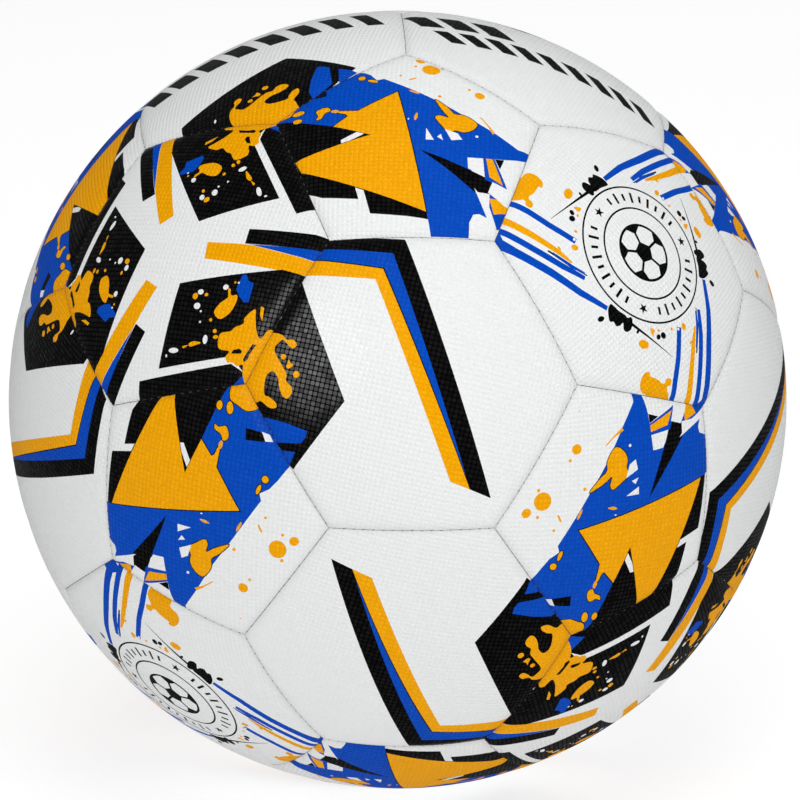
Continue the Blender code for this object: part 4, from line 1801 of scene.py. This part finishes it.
# %% Rubber finishes
def rubber_finish(name, colour, roughness, grain_size, dust=0.25):
    """Moulded rubber, with grain_size in metres and dust from 0 to about 0.5."""
    material, tree, shader = new_finish(name)
    place = on_piece(tree)
    grain = noise(tree, place, 1 / grain_size, detail=3.0)
    bloom = noise(tree, place, 60.0, detail=4.0)
    pale = tuple(min(1.0, c + 0.12) for c in colour)
    dark = tuple(c * 0.75 for c in colour)
    share = ((bloom - 0.45) * 2 * dust + (grain - 0.5) * 0.3).kept_in_unit()
    feed(shader, "Base Color", mixed(tree, share, dark, pale))
    feed(shader, "Roughness", roughness + (bloom - 0.5) * 0.3)
    emboss(tree, shader, grain * (grain_size * 0.12))
    return material


body_rubber = rubber_finish("valve_body_rubber", (0.022, 0.022, 0.023), 0.5, 0.25 * MM)
core_rubber = rubber_finish("valve_core_rubber", (0.30, 0.285, 0.25), 0.42, 0.2 * MM)
print("rubbers:", body_rubber.name, core_rubber.name)

# %% [markdown]
# ## The valve's body
#
# The body is a tube with a thick flange that is vulcanised to the bladder, and a thin
# tip that closes round the needle. Its reach and its flange are measured on the CAD
# node; the sizes between them are listed here.

# %% Turn the body
STEM_RADIUS = 3.9            # mm, as all sizes of the valve
BORE_RADIUS = 2.3
ROOT_RADIUS = 4.6            # where the stem meets the flange, and the tip below it
WAIST_RADIUS = 3.2           # of the tip
BORE_FLOOR = 5.5             # above the tip
FLANGE_TOP = 11.3            # above the tip
FLANGE_WALL = 1.4
FILLET_RISE = 0.9            # of the stem's foot above the flange
LIP_ROUND = 0.35
FILLET_ROUND = 0.4


def make_valve_body():
    tip, lip = along_axis("valve_body")
    passage, flange = off_axis("valve_body")
    floor, top = tip + BORE_FLOOR, tip + FLANGE_TOP
    bottom, neck = top - FLANGE_WALL, top - 2 * FLANGE_WALL
    foot = (STEM_RADIUS, top + FILLET_RISE)
    outline = [
        *rounded((BORE_RADIUS, lip), (BORE_RADIUS, floor), (STEM_RADIUS, lip), LIP_ROUND),
        *rounded((STEM_RADIUS, lip), (BORE_RADIUS, lip), (STEM_RADIUS, floor), LIP_ROUND),
        foot,
        *rounded((ROOT_RADIUS, top), foot, (flange, top), FILLET_ROUND),
        *rounded((flange, top), (ROOT_RADIUS, top), (flange, tip), LIP_ROUND),
        *rounded((flange, bottom), (flange, lip), (ROOT_RADIUS, bottom), LIP_ROUND),
        (ROOT_RADIUS, neck),
        *rounded((WAIST_RADIUS, tip), (ROOT_RADIUS, neck), (passage, tip), LIP_ROUND),
        (passage, tip),
        (passage, floor),
        (BORE_RADIUS, floor),
    ]
    return turned_piece("needle_valve_body", outline, body_rubber, closed=True)


print(add_to_ball(make_valve_body(), "valve_body"), "triangles on the body")

# %% [markdown]
# ## The valve's core
#
# The core is a plug that fills the bore. A funnel in its top leads the needle to the
# slit, and its foot is tapered so that it can be pushed in when the ball is made.

# %% Turn the core
FUNNEL_RADIUS = 0.9
FUNNEL_DEPTH = 1.6
FUNNEL_FLOOR = (0.3, 0.15)   # radius of the flat at its bottom, and how far its rim stands up
FUNNEL_ROUND = 0.3
RIM_ROUND = 0.25
TAPER = (0.6, 2.2)           # inwards and upwards


def make_valve_core():
    bottom, top = along_axis("valve_core")
    _, outer = off_axis("valve_core")
    floor = top - FUNNEL_DEPTH
    outline = [
        (0.0, floor),
        (FUNNEL_FLOOR[0], floor + FUNNEL_FLOOR[1]),
        *rounded((FUNNEL_RADIUS, top), (FUNNEL_FLOOR[0], floor), (outer, top), FUNNEL_ROUND),
        *rounded((outer, top), (FUNNEL_RADIUS, top), (outer, bottom), RIM_ROUND),
        (outer, bottom + TAPER[1]),
        (outer - TAPER[0], bottom),
        (0.0, bottom),
    ]
    return turned_piece("needle_valve_core", outline, core_rubber, closed=False)


print(add_to_ball(make_valve_core(), "valve_core"), "triangles on the core")

# %% [markdown]
# ## What lies inside
#
# The carcass, the bladder, its patches and the soft filler keep their CAD shapes, which
# are right, and get real finishes: woven textile under latex, moulded butyl rubber and
# open foam. Foam is a mass of cells, which a Voronoi texture gives.

# %% Dress the inner nodes
def foam_finish(name, colour):
    """Open foam: small cells in a pale mass, darker in their pits as painted shade."""
    material, tree, shader = new_finish(name)
    place = on_piece(tree)
    cells = tree.node("ShaderNodeTexVoronoi", None, {"Vector": place, "Scale": 900.0}, "Distance")
    cloud = noise(tree, place, 45.0)
    share = (cells * 1.4 + (cloud - 0.5) * 0.4).kept_in_unit()
    # The cells' pits take the darker colour: painted shade.
    pit_shade = tuple(c * 0.45 for c in colour)
    feed(shader, "Base Color", mixed(tree, share, pit_shade, colour))
    feed(shader, "Roughness", 0.95 - cells * 0.1)
    emboss(tree, shader, cells * (0.5 * MM))
    return material


INNER_FINISHES = {
    "textile_carcass": woven_finish("carcass_weave", (0.66, 0.64, 0.58), (0.42, 0.40, 0.35), 0.9 * MM, 0.85),
    "bladder": rubber_finish("bladder_butyl", (0.02, 0.02, 0.02), 0.6, 0.4 * MM, 0.4),
    "valve_patch": rubber_finish("valve_patch_butyl", (0.03, 0.03, 0.032), 0.65, 0.5 * MM),
    "balance_patch": rubber_finish("balance_patch_butyl", (0.035, 0.034, 0.033), 0.65, 0.5 * MM),
    "bounce_filler": foam_finish("filler_foam", (0.72, 0.66, 0.48)),
}
for node_name, finish in INNER_FINISHES.items():
    NODES[node_name].data.materials.clear()
    NODES[node_name].data.materials.append(finish)
print(len(INNER_FINISHES), "inner nodes dressed")
